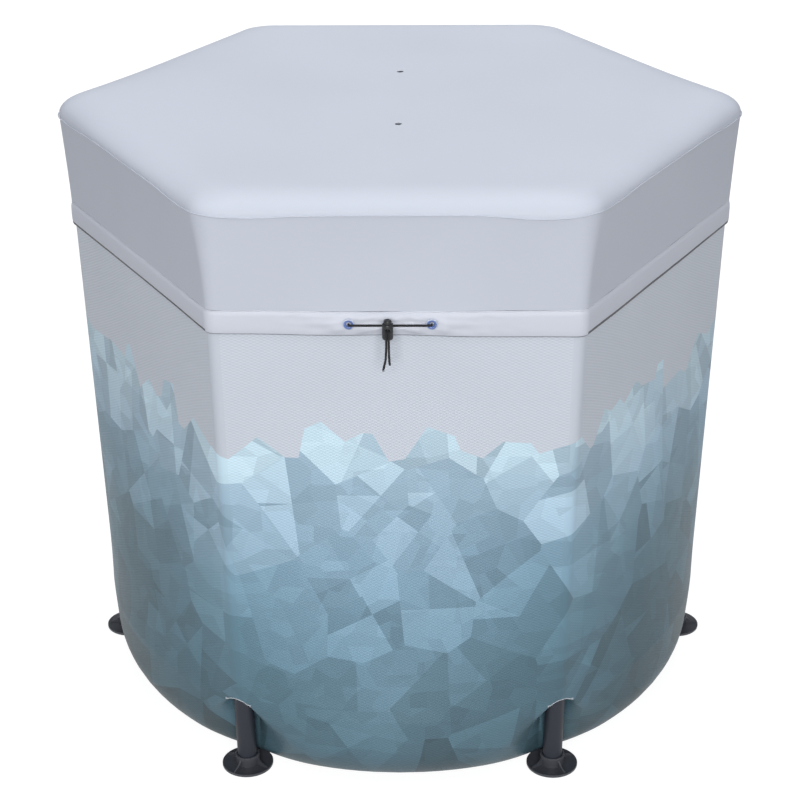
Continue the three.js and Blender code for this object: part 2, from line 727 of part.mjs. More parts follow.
// Eyelet: barrel through the hem's face, with a round rim outside
const eyeletBore = CORD_RADIUS + EYELET_PLAY;
const barrelRadius = eyeletBore + EYELET_WALL;
const eyelet = revolve(
  [
    [eyeletBore, -COVER_THICKNESS - GAP],
    [barrelRadius, -COVER_THICKNESS - GAP],
    [barrelRadius, GAP],
    [barrelRadius + EYELET_RIM, GAP],
    [barrelRadius + EYELET_RIM - EYELET_LIP, GAP + EYELET_LIP],
    [barrelRadius - EYELET_WALL / 2, GAP + EYELET_LIP],
    [eyeletBore, GAP + EYELET_LIP / 2],
    [eyeletBore, -COVER_THICKNESS - GAP],
  ],
  14,
).rotateX(Math.PI / 2);
const atHem = (x) => eyelet.clone().translate(x, -hemFace, cordHeight);
add(cover, "cord_eyelet_left", atHem(EYELET_LEFT), "eyelet");
add(cover, "cord_eyelet_right", atHem(EYELET_RIGHT), "eyelet");

// Path through points with its corners bent to a radius
function bentPath(points, bend) {
  const path = new THREE.CurvePath();
  let last = points[0];
  for (let i = 1; i < points.length - 1; i++) {
    const back = points[i - 1].clone().sub(points[i]).normalize();
    const on = points[i + 1].clone().sub(points[i]).normalize();
    const turn = Math.PI - Math.acos(back.dot(on));
    const reach = bend * Math.tan(turn / 2);
    const handle = reach - (4 / 3) * bend * Math.tan(turn / 4);
    const near = (way, distance) => points[i].clone().addScaledVector(way, distance);
    const from = near(back, reach);
    const to = near(on, reach);
    path.add(new THREE.LineCurve3(last, from));
    path.add(new THREE.CubicBezierCurve3(from, near(back, handle), near(on, handle), to));
    last = to;
  }
  path.add(new THREE.LineCurve3(last, points[points.length - 1]));
  return path;
}

// Round section swept along a path
function sweep(path, radius, sides, steps) {
  const points = arc(radius, 0, 2 * Math.PI, sides).slice(1);
  const section = new THREE.Shape(points.map(([x, y]) => new THREE.Vector2(x, y)));
  return weld(
    new THREE.ExtrudeGeometry(section, { steps, extrudePath: path, bevelEnabled: false }),
  );
}

// Cord inside the hem, all the way round from one eyelet to the other
function hemCord() {
  const middle = COVER_THICKNESS + hemChannel / 2;
  const channel = hemApothem + middle;
  const loop = hexagon(channel, hemCorner + middle, cordHeight);
  const first = loop.findIndex((p) => p.x > 0 && p.y < -channel + GAP);
  const end = (x) => new THREE.Vector3(x, -channel, cordHeight);
  const route = [
    end(EYELET_RIGHT + HEM_CORD_START),
    ...loop.slice(first),
    ...loop.slice(0, first),
    end(EYELET_LEFT - HEM_CORD_START),
  ];
  const rings = route.map((p, i) => {
    const before = route[Math.max(i - 1, 0)];
    const after = route[Math.min(i + 1, route.length - 1)];
    const side = new THREE.Vector3(0, 0, 1).cross(after.clone().sub(before)).normalize();
    return arc(CORD_RADIUS, 0, 2 * Math.PI, 6)
      .slice(1)
      .map(([u, v]) => p.clone().addScaledVector(side, u).setZ(p.z + v));
  });
  return loft([[route[0]], ...rings, [route[route.length - 1]]], false);
}
add(cover, "drawcord_hem", hemCord(), "cord");

// Free ends: out of the eyelet, behind the lock, forwards through its hole and down
const lockHole = 2 * CORD_RADIUS + LOCK_PLAY;
const lockBore = lockHole + LOCK_SIDE;
const lockRadius = lockBore + LOCK_WALL;
const lockBottom = cordHeight - LOCK_BELOW;
const cordRun = CORD_BEND + GAP; // of the run between the eyelets, in front of the eyelet's end
const lockY = -hemFace - cordRun - CORD_BEND - lockRadius;
function freeEnd(eyeletX, side, drop, sway) {
  const x = LOCK_X + side * (CORD_RADIUS + CORD_SPLIT);
  const outY = -hemFace + COVER_THICKNESS;
  const runY = outY - cordRun;
  const tailY = lockY - lockRadius - CORD_BEND;
  const points = [
    [eyeletX, outY, cordHeight],
    [eyeletX, runY, cordHeight],
    [x, runY, cordHeight],
    [x, tailY, cordHeight],
    [x, tailY, lockBottom - TAIL_BEND],
    [x + sway, tailY, lockBottom - drop],
  ].map((p) => new THREE.Vector3(...p));
  return sweep(bentPath(points, CORD_BEND), CORD_RADIUS, 8, CORD_STEPS);
}
add(cover, "drawcord_left", freeEnd(EYELET_LEFT, -1, TAIL_LEFT, SWAY_LEFT), "cord");
add(cover, "drawcord_right", freeEnd(EYELET_RIGHT, 1, TAIL_RIGHT, SWAY_RIGHT), "cord");

// Cord lock: barrel with a hole across it, a button that slides in it, a spring under the button
const lockTop = cordHeight + LOCK_ABOVE;
const buttonRadius = lockBore - GAP;
const buttonFrom = cordHeight - lockHole - BUTTON_FOOT;
const buttonTop = lockTop + BUTTON_RISE;
const springFrom = lockBottom + LOCK_FLOOR + GAP;
cordLock.position.set(LOCK_X, lockY, 0);
const lockShell = revolve(
  [
    [0, lockBottom],
    [lockRadius - LOCK_ROUND, lockBottom],
    [lockRadius, lockBottom + LOCK_ROUND],
    [lockRadius, lockTop - LOCK_ROUND / 2],
    [lockRadius - LOCK_ROUND / 2, lockTop],
    [lockBore, lockTop],
    [lockBore, lockBottom + LOCK_FLOOR],
    [0, lockBottom + LOCK_FLOOR],
  ],
  16,
);
const across = disc(lockHole, -lockRadius - PAST, lockRadius + PAST, 12)
  .rotateX(Math.PI / 2)
  .translate(0, 0, cordHeight);
add(cordLock, "cord_lock_body", geometryOf(cut(solid(lockShell), across)), "lock");
const buttonShell = revolve(
  [
    [0, buttonFrom],
    [buttonRadius, buttonFrom],
    [buttonRadius, buttonTop - BUTTON_EDGE],
    [buttonRadius - BUTTON_EDGE, buttonTop],
    [0, buttonTop],
  ],
  14,
);
const slot = new THREE.BoxGeometry(
  4 * CORD_RADIUS + 2 * CORD_SPLIT + LOCK_PLAY,
  2 * (lockRadius + PAST),
  2 * CORD_RADIUS + BUTTON_TRAVEL + 2 * GAP,
).translate(0, 0, cordHeight + BUTTON_TRAVEL / 2);
add(cordLock, "cord_lock_button", geometryOf(cut(solid(buttonShell), slot)), "lock");
class Coil extends THREE.Curve {
  getPoint(t) {
    const a = t * SPRING_TURNS * 2 * Math.PI;
    const r = buttonRadius - 3 * SPRING_WIRE;
    const from = springFrom + SPRING_WIRE;
    const to = buttonFrom - GAP - SPRING_WIRE;
    return new THREE.Vector3(r * Math.cos(a), r * Math.sin(a), from + (to - from) * t);
  }
}
add(cordLock, "cord_lock_spring", sweep(new Coil(), SPRING_WIRE, 5, SPRING_TURNS * 6), "steel");

export default part;
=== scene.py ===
import math

import bmesh
import bpy
import numpy as np
from mathutils import Matrix, Vector, noise


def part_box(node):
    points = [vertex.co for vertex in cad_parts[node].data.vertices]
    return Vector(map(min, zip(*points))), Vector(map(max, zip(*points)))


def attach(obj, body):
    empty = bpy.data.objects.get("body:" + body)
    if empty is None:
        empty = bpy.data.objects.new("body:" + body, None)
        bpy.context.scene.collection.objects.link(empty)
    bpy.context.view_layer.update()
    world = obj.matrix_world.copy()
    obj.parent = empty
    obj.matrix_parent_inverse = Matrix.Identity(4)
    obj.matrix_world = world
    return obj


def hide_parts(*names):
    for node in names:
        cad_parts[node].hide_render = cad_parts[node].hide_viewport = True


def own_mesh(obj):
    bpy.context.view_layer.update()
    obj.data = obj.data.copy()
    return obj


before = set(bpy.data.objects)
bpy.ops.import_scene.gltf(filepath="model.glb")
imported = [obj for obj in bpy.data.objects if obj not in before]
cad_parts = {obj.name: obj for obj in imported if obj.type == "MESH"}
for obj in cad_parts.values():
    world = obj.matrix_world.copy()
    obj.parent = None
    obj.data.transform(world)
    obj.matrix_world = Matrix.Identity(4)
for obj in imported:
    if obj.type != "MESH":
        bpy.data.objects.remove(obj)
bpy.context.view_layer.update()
MM = 0.001

# Frame of tubes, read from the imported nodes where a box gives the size
SIDES = 6
SECTOR = 2 * math.pi / SIDES
HALF = SECTOR / 2
FOOT_LOW, FOOT_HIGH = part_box("foot_1")
FLANGE_RADIUS = (FOOT_HIGH.y - FOOT_LOW.y) / 2
LEG_FOOT_RADIUS = (FOOT_LOW.x + FOOT_HIGH.x) / 2
TUBE_RADIUS = 12.5 * MM
TUBE_WALL = 1.2 * MM
RAIL_HEIGHT = sum(corner.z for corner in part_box("rail_1")) / 2
LEG_TOP_RADIUS = 420 * MM
JOINT_COLLAR = 15.7 * MM
SPIGOT_LENGTH = 46 * MM
LEG_SEAT = 5 * MM
LEAN = math.atan2(LEG_TOP_RADIUS - LEG_FOOT_RADIUS, RAIL_HEIGHT)
RAIL_APOTHEM = LEG_TOP_RADIUS * math.cos(HALF)
FLANGE_THICKNESS = 3.6 * MM
COLLAR_RADIUS = 15.5 * MM
COLLAR_HEIGHT = 17 * MM
GAP = 0.3 * MM
SHARP_ANGLE = math.radians(38)

# Wall sheet
WALL_THICKNESS = 1.5 * MM
SKIN_PLAY = 0.8 * MM
SKIN_RADIUS = TUBE_RADIUS + SKIN_PLAY + WALL_THICKNESS
BASE_RADIUS = LEG_FOOT_RADIUS + 7 * MM
BASE_ROLL = 57 * MM
SLIT_HEIGHT = 103 * MM
SLIT_HALF = 15 * MM
SLIT_ARCH = 5 * MM
FLAT_HEIGHT = 560 * MM
BULGE_POWER = 1.6
BAY_HALF = 100 * MM
BAY_SPREAD = 1.4
CUT_EDGE = 1.6 * MM
SLIT_END = 4 * MM
ARCH_FADE = 30 * MM
BAY_FLAT = 13.2 * MM
BAY_PLAY = 1.5 * MM
STRIP_HALF = 8.5 * MM
# columns of the wall's mesh, in millimetres from a corner along the base
WALL_COLUMNS = [0, 3, 6, 8.5, 11, 13, 15, 17, 19, 21, 23, 25, 27.5, 30, 33, 36, 40, 44, 49, 55, 62, 70, 80,
                91, 103, 118, 136, 157, 178]

# Strips inside: pockets of the legs and sleeves of the rails
LINER_THICKNESS = 1.2 * MM
LINER_GAP = 0.4 * MM
POCKET_FLAPS = (45 * MM, 38 * MM, 30 * MM, 22 * MM)
POCKET_LOW = SLIT_HEIGHT + 9 * MM
POCKET_HIGH = RAIL_HEIGHT - 60 * MM
SLEEVE_PLAY = 0.95 * MM
SLEEVE_FLAPS = (-35 * MM, -50 * MM)
SLEEVE_HALF = LEG_TOP_RADIUS / 2 - 45 * MM

# Cover
SEAM_APOTHEM = RAIL_APOTHEM + SKIN_RADIUS + 9 * MM
SEAM_HEIGHT = RAIL_HEIGHT - 0.5 * MM
SEAM_CORNER = 45 * MM
SEAM_DIP = 2.6 * MM
SEAM_DIP_FRONT = 2.2 * MM
SEAM_DIP_AT = 165 * MM
SEAM_DIP_HALF = 45 * MM
COVER_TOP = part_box("cover_top")[1].z - 1.5 * MM
COVER_THICKNESS = 1 * MM
TOP_ROLL = 48 * MM
TOP_CROWN = 4.0 * MM
SEAM_BEAD = 0.8 * MM
SKIRT_OUT = 1.6 * MM
SKIRT_CORNER = 17 * MM
SKIRT_FLARE = 2.2
CORNER_LIFT = 6 * MM
CORNER_REACH = 110 * MM
HEM_TILT = 0.011
HEM_LIFT = 2.5 * MM
HEM_LIFT_HALF = 60 * MM
HEM_BOTTOM, HEM_TOP = (corner.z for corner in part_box("cover_hem"))
HEM_INSIDE = RAIL_APOTHEM + SKIN_RADIUS - 2.5 * MM
HEM_CORNER = SKIN_RADIUS + 0.3 * MM
HEM_SWELL = 3.4 * MM
HEM_CORD = 1.35 * MM
# heights up to which the hem's lowest rows take a dark colour, a painted shadow where the hem meets the wall:
# on the sides, then at the front
PAINTED_SHADOW_SIDES = 5.6 * MM
PAINTED_SHADOW_FRONT = 2.3 * MM

# Drawcord and its lock
EYELETS = [sum(corner.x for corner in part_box(f"cord_eyelet_{side}")) / 2 for side in ("left", "right")]
CORD_MIDDLE = sum(EYELETS) / 2
CORD_HEIGHT = HEM_BOTTOM + 19 * MM
CORD_RADIUS = 1.4 * MM
CORD_ASIDE = 1.45 * MM
CORD_BEND = 5 * MM
CORD_ENTRY = 12 * MM
BRAID_LAY = 1.6
BRAID_DEPTH = 0.035
LOCK_WALL = 1.4 * MM
LOCK_HOLE = 3.5 * MM
PRESS = 2.5 * MM
SPRING_WIRE = 0.3 * MM
SPRING_TURNS = 3

# Hem at the front, where the cord draws it together
FRONT_DEPTH = 300 * MM
SWELL_HALF = 120 * MM
GATHER_HALF = 85 * MM
GATHER_PITCH = 32 * MM
GATHER_OUT = 2.5 * MM
GATHER_FOLD = 0.8 * MM
EYE_FOLD = 0.7 * MM
EYE_FOLD_AT = 20 * MM
EYE_FOLD_HALF = 9 * MM
EYE_DENT = 0.5 * MM
EYE_DENT_HALF = 11 * MM

# Unevenness of the sheets as height, size and seed
FLOOR_WAVES = (0.5 * MM, 90 * MM, 3.1)
TOP_WAVES = (0.5 * MM, 160 * MM, 0.3)
TOP_GRAIN = (0.2 * MM, 55 * MM, 5.0)
SKIRT_WAVES = (0.7 * MM, 70 * MM, 1.7)
SKIRT_GRAIN = (0.25 * MM, 22 * MM, 8.2)
SEAM_WAVES = (0.25 * MM, 30 * MM, 2.2)
HEM_WAVES = (0.2 * MM, 50 * MM, 4.4)
HEM_GRAIN = (0.12 * MM, 16 * MM, 6.6)
HEM_CREASES = (2.7 * MM, 20 * MM, 7.7)
HEM_EDGE_WAVES = (0.7 * MM, 90 * MM, 9.1)
WELD_WAVES = (0.5 * MM, 25 * MM, 3.1)


def clamp(x):
    return min(max(x, 0.0), 1.0)


def smooth(x):
    t = clamp(x)
    return t * t * (3 - 2 * t)


def hump(x, middle, width, power=2):
    """Rounded rise to 1 at the middle."""
    return np.exp(-((x - middle) / width) ** power)


def polar(radius, angle):
    return radius * math.cos(angle), radius * math.sin(angle)


def spin(angle, axis):
    return Matrix.Rotation(angle, 4, axis)


def shift(x, y, z):
    return Matrix.Translation((x, y, z))


def leg_radius(z):
    """Distance of a leg's axis from the tub's axis at a height."""
    return LEG_FOOT_RADIUS + math.tan(LEAN) * z


def flat_apothem(z):
    """Outside of a flat side of the wall at a height."""
    return leg_radius(z) * math.cos(HALF) + SKIN_RADIUS


# Meshes: a shape is a pair of points and faces

def mend(mesh, near=1e-6):
    """Merges near points of a mesh and turns its faces outwards."""
    bm = bmesh.new()
    bm.from_mesh(mesh)
    bmesh.ops.remove_doubles(bm, verts=bm.verts, dist=near)
    bmesh.ops.recalc_face_normals(bm, faces=bm.faces)
    bm.to_mesh(mesh)
    bm.free()


def mesh_of(shape, name="loose"):
    points, faces = shape
    mesh = bpy.data.meshes.new(name)
    mesh.from_pydata([tuple(p) for p in points], [], faces)
    mend(mesh)
    return mesh


def linked(name, data):
    """A new object in the scene."""
    obj = bpy.data.objects.new(name, data)
    bpy.context.scene.collection.objects.link(obj)
    return obj


def loose(shape):
    """An object for modelling that is not yet a piece."""
    return linked("loose", mesh_of(shape))


def piece(name, mesh, body, look, node=None):
    """A smooth piece on a body, from a mesh or a shape.

    It replaces the node that its name without the last word gives, or the given node; "" means none.
    """
    if isinstance(mesh, tuple):
        mesh = mesh_of(mesh, name)
    obj = linked(name, mesh)
    if not mesh.materials:
        mesh.materials.append(MATERIALS[look])
    mesh.polygons.foreach_set("use_smooth", [True] * len(mesh.polygons))
    mesh.set_sharp_from_angle(angle=SHARP_ANGLE)
    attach(obj, body)
    if node is None:
        node = name.rsplit("_", 1)[0]
    if node:
        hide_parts(node)
    return obj


def ring_faces(rows, columns, closed=False):
    """Quads between rings of equally many points; closed joins the last ring to the first."""
    faces = []
    for i in range(rows if closed else rows - 1):
        a, b = i * columns, (i + 1) % rows * columns
        for j in range(columns):
            k = (j + 1) % columns
            faces.append((a + j, a + k, b + k, b + j))
    return faces


def rod_faces(rows, columns):
    """Quads between rings, with a face on each end."""
    last = (rows - 1) * columns
    ends = [tuple(range(columns - 1, -1, -1)), tuple(range(last, last + columns))]
    return ring_faces(rows, columns) + ends


def skin(rows, closed=False):
    """A shape through rings of points; closed joins the last ring to the first."""
    return [p for row in rows for p in row], ring_faces(len(rows), len(rows[0]), closed)


def lathe(profile, segments, flute=None):
    """A profile of (radius, height) turned about Z; flute changes a radius by angle."""
    points = []
    for r, z in profile:
        for j in range(segments):
            a = 2 * math.pi * j / segments
            points.append((*polar(flute(r, z, a) if flute else r, a), z))
    faces = ring_faces if profile[0] == profile[-1] else rod_faces
    return points, faces(len(profile), segments)


def near(r, z, *steps):
    """Points of a profile, given in millimetres from a radius and a height."""
    return [(r + out * MM, z + up * MM) for out, up in steps]


def washer(inner, outer, low, high, below, above):
    """Profile of a ring with bevels, in millimetres, on the outer edges."""
    return [(inner, low), *near(outer, low, (-below, 0), (0, below)),
            *near(outer, high, (0, -above), (-above, 0)), (inner, high), (inner, low)]


def placed(shape, matrix):
    points, faces = shape
    return [matrix @ Vector(p) for p in points], faces


def applied(obj):
    """The mesh of an object with its modifiers, as a new mesh, and the object removed."""
    bpy.context.view_layer.update()
    mesh = bpy.data.meshes.new_from_object(obj.evaluated_get(bpy.context.evaluated_depsgraph_get()))
    bpy.data.objects.remove(obj)
    return mesh


def combine(first, others, operation):
    """One mesh from a boolean of loose objects."""
    for other in others:
        m = first.modifiers.new("boolean", "BOOLEAN")
        m.operation = operation
        m.solver = "EXACT"
        m.object = other
    mesh = applied(first)
    for other in others:
        bpy.data.objects.remove(other)
    return mesh


def thickened(mesh, thickness, **settings):
    """The mesh as a sheet, thickened inwards."""
    obj = linked("loose", mesh)
    m = obj.modifiers.new("thickness", "SOLIDIFY")
    m.thickness, m.offset = thickness, -1
    for key, value in settings.items():
        setattr(m, key, value)
    return applied(obj)


def hex_ring(apothem, corner, z, per_corner=10, per_side=40):
    """Rounded hexagon: points and outward normals, starting at the corner at +X."""
    centre = (apothem - corner) / math.cos(HALF)
    points, normals = [], []
    for k in range(SIDES):
        axis = k * SECTOR
        for i in range(per_corner + 1):
            normals.append(polar(1, axis + HALF * (2 * i / per_corner - 1)))
            points.append(np.array(polar(centre, axis)) + corner * np.array(normals[-1]))
        start, normal = points[-1], normals[-1]
        end = np.array(polar(centre, axis + SECTOR)) + corner * np.array(normal)
        for i in range(1, per_side):
            points.append(start + (end - start) * i / per_side)
            normals.append(normal)
    return np.column_stack([points, np.full(len(points), z)]), np.array(normals)


def ripples(ring, height, size, seed, rise=1.0):
    """Smooth noise up to a height over points; rise scales their Z."""
    places = [Vector((x / size + seed, y / size, rise * z / size)) for x, y, z in ring]
    return np.array([height * noise.noise(place) for place in places])


# Materials

def put(socket, value):
    """Links a socket to another, or sets it to a number or a colour."""
    if isinstance(value, bpy.types.NodeSocket):
        socket.id_data.links.new(value, socket)
    else:
        socket.default_value = (*value, 1) if isinstance(value, tuple) else value


def add_node(tree, kind, inputs=None, **settings):
    """A node; its inputs, by name or place, are sockets, numbers or colours."""
    n = tree.nodes.new("ShaderNode" + kind)
    for key, value in settings.items():
        setattr(n, key, value)
    for key, value in (inputs or {}).items():
        put(n.inputs[key], value)
    return n


class Look:
    """A principled material with makers of its nodes; most of them return an output."""

    def __init__(self, name, color, roughness, **sockets):
        self.material = bpy.data.materials.new(name)
        self.material.use_nodes = True
        self.set(Base_Color=color, Roughness=roughness, **sockets)
        self.where = self.node("TexCoord").outputs["Object"]

    def set(self, **sockets):
        shader = self.material.node_tree.nodes["Principled BSDF"]
        for key, value in sockets.items():
            put(shader.inputs[key.replace("_", " ")], value)

    def node(self, kind, inputs=None, **settings):
        return add_node(self.material.node_tree, kind, inputs, **settings)

    def parts(self, vector):
        return self.node("SeparateXYZ", {0: vector}).outputs

    def calc(self, operation, *values, clamp=False):
        return self.node("Math", dict(enumerate(values)), operation=operation, use_clamp=clamp).outputs[0]

    def line(self, x, slope, start, clamp=False):
        """x times the slope, plus the start."""
        return self.calc("MULTIPLY_ADD", x, slope, start, clamp=clamp)

    def remap(self, value, low, high, from_low=0.0, from_high=1.0):
        return self.node("MapRange", {"Value": value, "From Min": from_low, "From Max": from_high,
                                      "To Min": low, "To Max": high}).outputs[0]

    def mix(self, factor, a, b, blend="MIX"):
        return self.node("Mix", {0: factor, 6: a, 7: b}, data_type="RGBA", blend_type=blend).outputs[2]

    def shade(self, color, value):
        """A colour times a grey value."""
        grey = self.node("CombineColor", {i: value for i in range(3)}).outputs[0]
        return self.mix(1.0, color, grey, "MULTIPLY")

    def noise(self, scale, detail, where=None):
        where = where or self.where
        return self.node("TexNoise", {"Scale": scale, "Detail": detail, "Vector": where}).outputs["Fac"]

    def bump(self, strength, distance, height):
        inputs = {"Strength": strength, "Distance": distance, "Height": height}
        self.set(Normal=self.node("Bump", inputs).outputs[0])


def varied(name, color, spread, roughness, grain, grain_scale, depth, **sockets):
    """Colour with soft patches, roughness variation and a fine grain."""
    look = Look(name, color, roughness, **sockets)
    patches = look.noise(scale=9, detail=3)
    dark, light = (tuple(min(c * (1 + s), 1) for c in color) for s in (-spread, spread))
    look.set(Base_Color=look.mix(patches, dark, light),
             Roughness=look.remap(patches, 0.85 * roughness, 1.15 * roughness, 0.3, 0.7))
    look.bump(grain, depth, look.noise(scale=grain_scale, detail=2))
    return look.material


def cover_material(name, color):
    """Smooth satin PVC with a faint unevenness."""
    look = Look(name, color, 0.53, Specular_IOR_Level=0.2)
    broad = look.noise(scale=5, detail=3)
    dark, light = (tuple(s * c for c in color) for s in (0.965, 1.03))
    look.set(Base_Color=look.mix(broad, dark, light), Roughness=look.remap(broad, 0.48, 0.58, 0.35, 0.65))
    height = look.line(look.noise(scale=900, detail=1), 0.03, look.noise(scale=26, detail=2))
    look.bump(strength=0.25, distance=1.2 * MM, height=height)
    return look.material


# Wall print: unwrapped coordinates are kept in a UV map, in metres, so that weave and print lie in the cloth
PLAIN = (0.565, 0.605, 0.67)
SCRIM_PITCH = 3.8 * MM
DASH_SHADE = 0.085
STRIP_SHADE = 0.04
PRINT_HEIGHT = 0.487
BORDER_DRIFT = 0.03
PLATE_SCALE = 10.6
CHIP_SCALE = 2.1 * PLATE_SCALE
FACET_LIFT = 0.06
LEVEL_SHARES = {"plate": 0.4, "chip": 0.2, "place": 0.4}
TONE_SHARES = {"plate": 0.25, "facet": 0.45, "chip": 0.3}
# painted shade: how much darker, and in what tint, the low print is on the faces turned away from the front
# light
PAINTED_SIDE_SHADE = 0.4
PAINTED_SIDE_TINT = (0.82, 0.97, 0.96)
PRINT_STOPS = [(0.0, (0.059, 0.108, 0.134)), (0.2, (0.103, 0.188, 0.24)), (0.45, (0.155, 0.27, 0.35)),
               (0.65, (0.25, 0.39, 0.5)), (0.85, (0.36, 0.502, 0.616)), (1.0, (0.495, 0.645, 0.728))]


def set_ramp(ramp, stops):
    for element, (position, color) in zip(ramp.elements, (stops[0], stops[-1])):
        element.position, element.color = position, (*color, 1)
    for position, color in stops[1:-1]:
        ramp.elements.new(position).color = (*color, 1)


def scrim(look, along, up):
    """Height of the woven net in the sheet: rows of short dashes."""
    row = look.calc("SINE", look.calc("MULTIPLY", up, 2 * math.pi / SCRIM_PITCH))
    column = look.calc("SINE", look.calc("MULTIPLY", along, math.pi / SCRIM_PITCH))
    return look.calc("MULTIPLY", row, column)


def plates(look, uv, scale, cuts):
    """Plates of a cracked sheet, cut into facets about their middles: height, tone and tone of a facet."""
    cells = look.node("TexVoronoi", {"Scale": scale, "Vector": uv}, voronoi_dimensions="2D").outputs
    tint = look.node("SeparateColor", {0: cells["Color"]}).outputs
    away = look.node("VectorMath", {0: uv, 1: cells["Position"]}, operation="SUBTRACT").outputs[0]
    way = look.parts(away)
    turned = look.line(tint[1], 2 * math.pi, look.calc("ARCTAN2", way[1], way[0]))
    sector = look.calc("FLOOR", look.calc("MULTIPLY", turned, cuts / (2 * math.pi)))
    key = look.node("CombineXYZ", {0: tint[0], 1: tint[2], 2: sector}).outputs[0]
    facet = look.node("TexWhiteNoise", {"Vector": key}, noise_dimensions="3D").outputs["Value"]
    return look.parts(cells["Position"])[1], tint[0], facet


def print_material():
    """Pale sheet, its lower part printed with plates of cracked ice, from pale aqua down to dark teal."""
    look = Look("wall_print", PLAIN, 0.5)
    uv = look.node("UVMap", uv_map="wrap").outputs[0]
    along, up, _ = look.parts(uv)
    plate_up, plate_tone, facet = plates(look, uv, PLATE_SCALE, 4)
    chip_up, _, chip_tone = plates(look, uv, CHIP_SCALE, 3)
    level = look.line(chip_up, LEVEL_SHARES["chip"], look.line(facet, FACET_LIFT, -FACET_LIFT / 2))
    level = look.line(up, LEVEL_SHARES["place"], look.line(plate_up, LEVEL_SHARES["plate"], level))
    level = look.calc("DIVIDE", level, PRINT_HEIGHT)
    color = look.node("ValToRGB", {0: level})
    set_ramp(color.color_ramp, PRINT_STOPS)
    tone = look.line(facet, TONE_SHARES["facet"], look.calc("MULTIPLY", chip_tone, TONE_SHARES["chip"]))
    tone = look.remap(look.line(plate_tone, TONE_SHARES["plate"], tone), 0.74, 1.26, 0.1, 0.9)
    # painted shade: the low part of the print is darker and greener towards the left and right, on every
    # second face of the hexagon, the faces turned away from the front light
    turn = look.line(along, 3 / BASE_RADIUS, -4.5 * math.pi)
    side = look.line(look.calc("COSINE", turn), -0.5, 0.5)
    side = look.calc("MULTIPLY", side, look.line(level, -3.0, 2.6, clamp=True))
    tone = look.calc("MULTIPLY", tone, look.line(side, -PAINTED_SIDE_SHADE, 1.0))
    printed = look.mix(side, look.shade(color.outputs[0], tone), PAINTED_SIDE_TINT, "MULTIPLY")
    drift = look.noise(scale=2.3, detail=1, where=uv)
    border = look.line(drift, BORDER_DRIFT, PRINT_HEIGHT - BORDER_DRIFT / 2)
    base = look.mix(look.calc("LESS_THAN", chip_up, border), PLAIN, printed)
    strip = look.node("Attribute", attribute_name="strip").outputs["Fac"]
    weave = look.calc("MULTIPLY", scrim(look, along, up), look.calc("SUBTRACT", 1.0, strip))
    dash = look.line(strip, -STRIP_SHADE, look.line(weave, DASH_SHADE, 1.0))
    soft = look.noise(scale=11, detail=2)
    look.set(Base_Color=look.shade(base, dash), Roughness=look.remap(soft, 0.44, 0.56))
    look.bump(strength=0.38, distance=0.3 * MM, height=look.line(soft, 5.0, weave))
    return look.material


def liner_material():
    """Plain pale sheet with the same net."""
    look = Look("liner_pvc", (0.56, 0.6, 0.66), 0.45)
    look.set(Base_Color=look.mix(look.noise(scale=7, detail=3), (0.53, 0.57, 0.63), (0.59, 0.63, 0.69)))
    look.bump(strength=0.2, distance=0.4 * MM, height=look.noise(scale=420, detail=1))
    return look.material


MATERIALS = {
    "cover": cover_material("cover_pvc", (0.545, 0.575, 0.645)),
    # painted light: the hem is the cover's own PVC, made lighter to stand in for the light on its bulging
    # front
    "hem": cover_material("cover_hem_pvc_painted_light", (0.6, 0.622, 0.69)),
    # painted shadow: near black for the lowest rows of the hem, standing in for the shade under it
    "hem_shadow": varied("hem_painted_shadow", (0.06, 0.06, 0.072), 0.1, 0.6, 0.2, 300, 0.0003),
    "wall": print_material(),
    "liner": liner_material(),
    "rim": varied("cut_edge", (0.5, 0.54, 0.58), 0.05, 0.6, 0.2, 300, 0.0003),
    "tube": varied("coated_tube", (0.026, 0.03, 0.041), 0.1, 0.5, 0.2, 900, 0.0002, Specular_IOR_Level=0.3),
    "fitting": varied("moulded_fitting", (0.05, 0.053, 0.064), 0.12, 0.4, 0.25, 700, 0.0003),
    "rubber": varied("rubber", (0.02, 0.02, 0.023), 0.15, 0.75, 0.3, 500, 0.0003),
    "lock": varied("lock_plastic", (0.012, 0.012, 0.014), 0.15, 0.35, 0.2, 1200, 0.0002),
    "eyelet": varied("eyelet_plastic", (0.19, 0.28, 0.6), 0.06, 0.2, 0.1, 500, 0.0002,
                     Transmission_Weight=0.35, IOR=1.46),
    "clear": varied("clear_plastic", (0.72, 0.77, 0.88), 0.04, 0.15, 0.1, 500, 0.0002,
                    Transmission_Weight=0.3, IOR=1.46),
    "cord": varied("cord_braid", (0.011, 0.011, 0.013), 0.3, 0.85, 0.6, 1500, 0.0006),
    "tip": varied("melted_tip", (0.3, 0.3, 0.32), 0.2, 0.4, 0.3, 900, 0.0004),
    "steel": varied("spring_wire", (0.55, 0.56, 0.58), 0.05, 0.3, 0.1, 800, 0.0001, Metallic=1.0),
}


# Frame: legs, feet, rails and corner joints

def at_leg(k):
    """From the frame of a leg, Z along it and its foot at the origin, to the tub's frame."""
    return spin(k * SECTOR, "Z") @ shift(LEG_FOOT_RADIUS, 0, 0) @ spin(LEAN, "Y")


def at_rail(k):
    """From the frame of a rail, Z along it and Y up, to the tub's frame."""
    return spin(k * SECTOR + HALF, "Z") @ shift(RAIL_APOTHEM, 0, RAIL_HEIGHT) @ spin(math.pi / 2, "X")


def tube_shape(start, end):
    return lathe(washer(TUBE_RADIUS - TUBE_WALL, TUBE_RADIUS, start, end, 0.4, 0.4), 40)


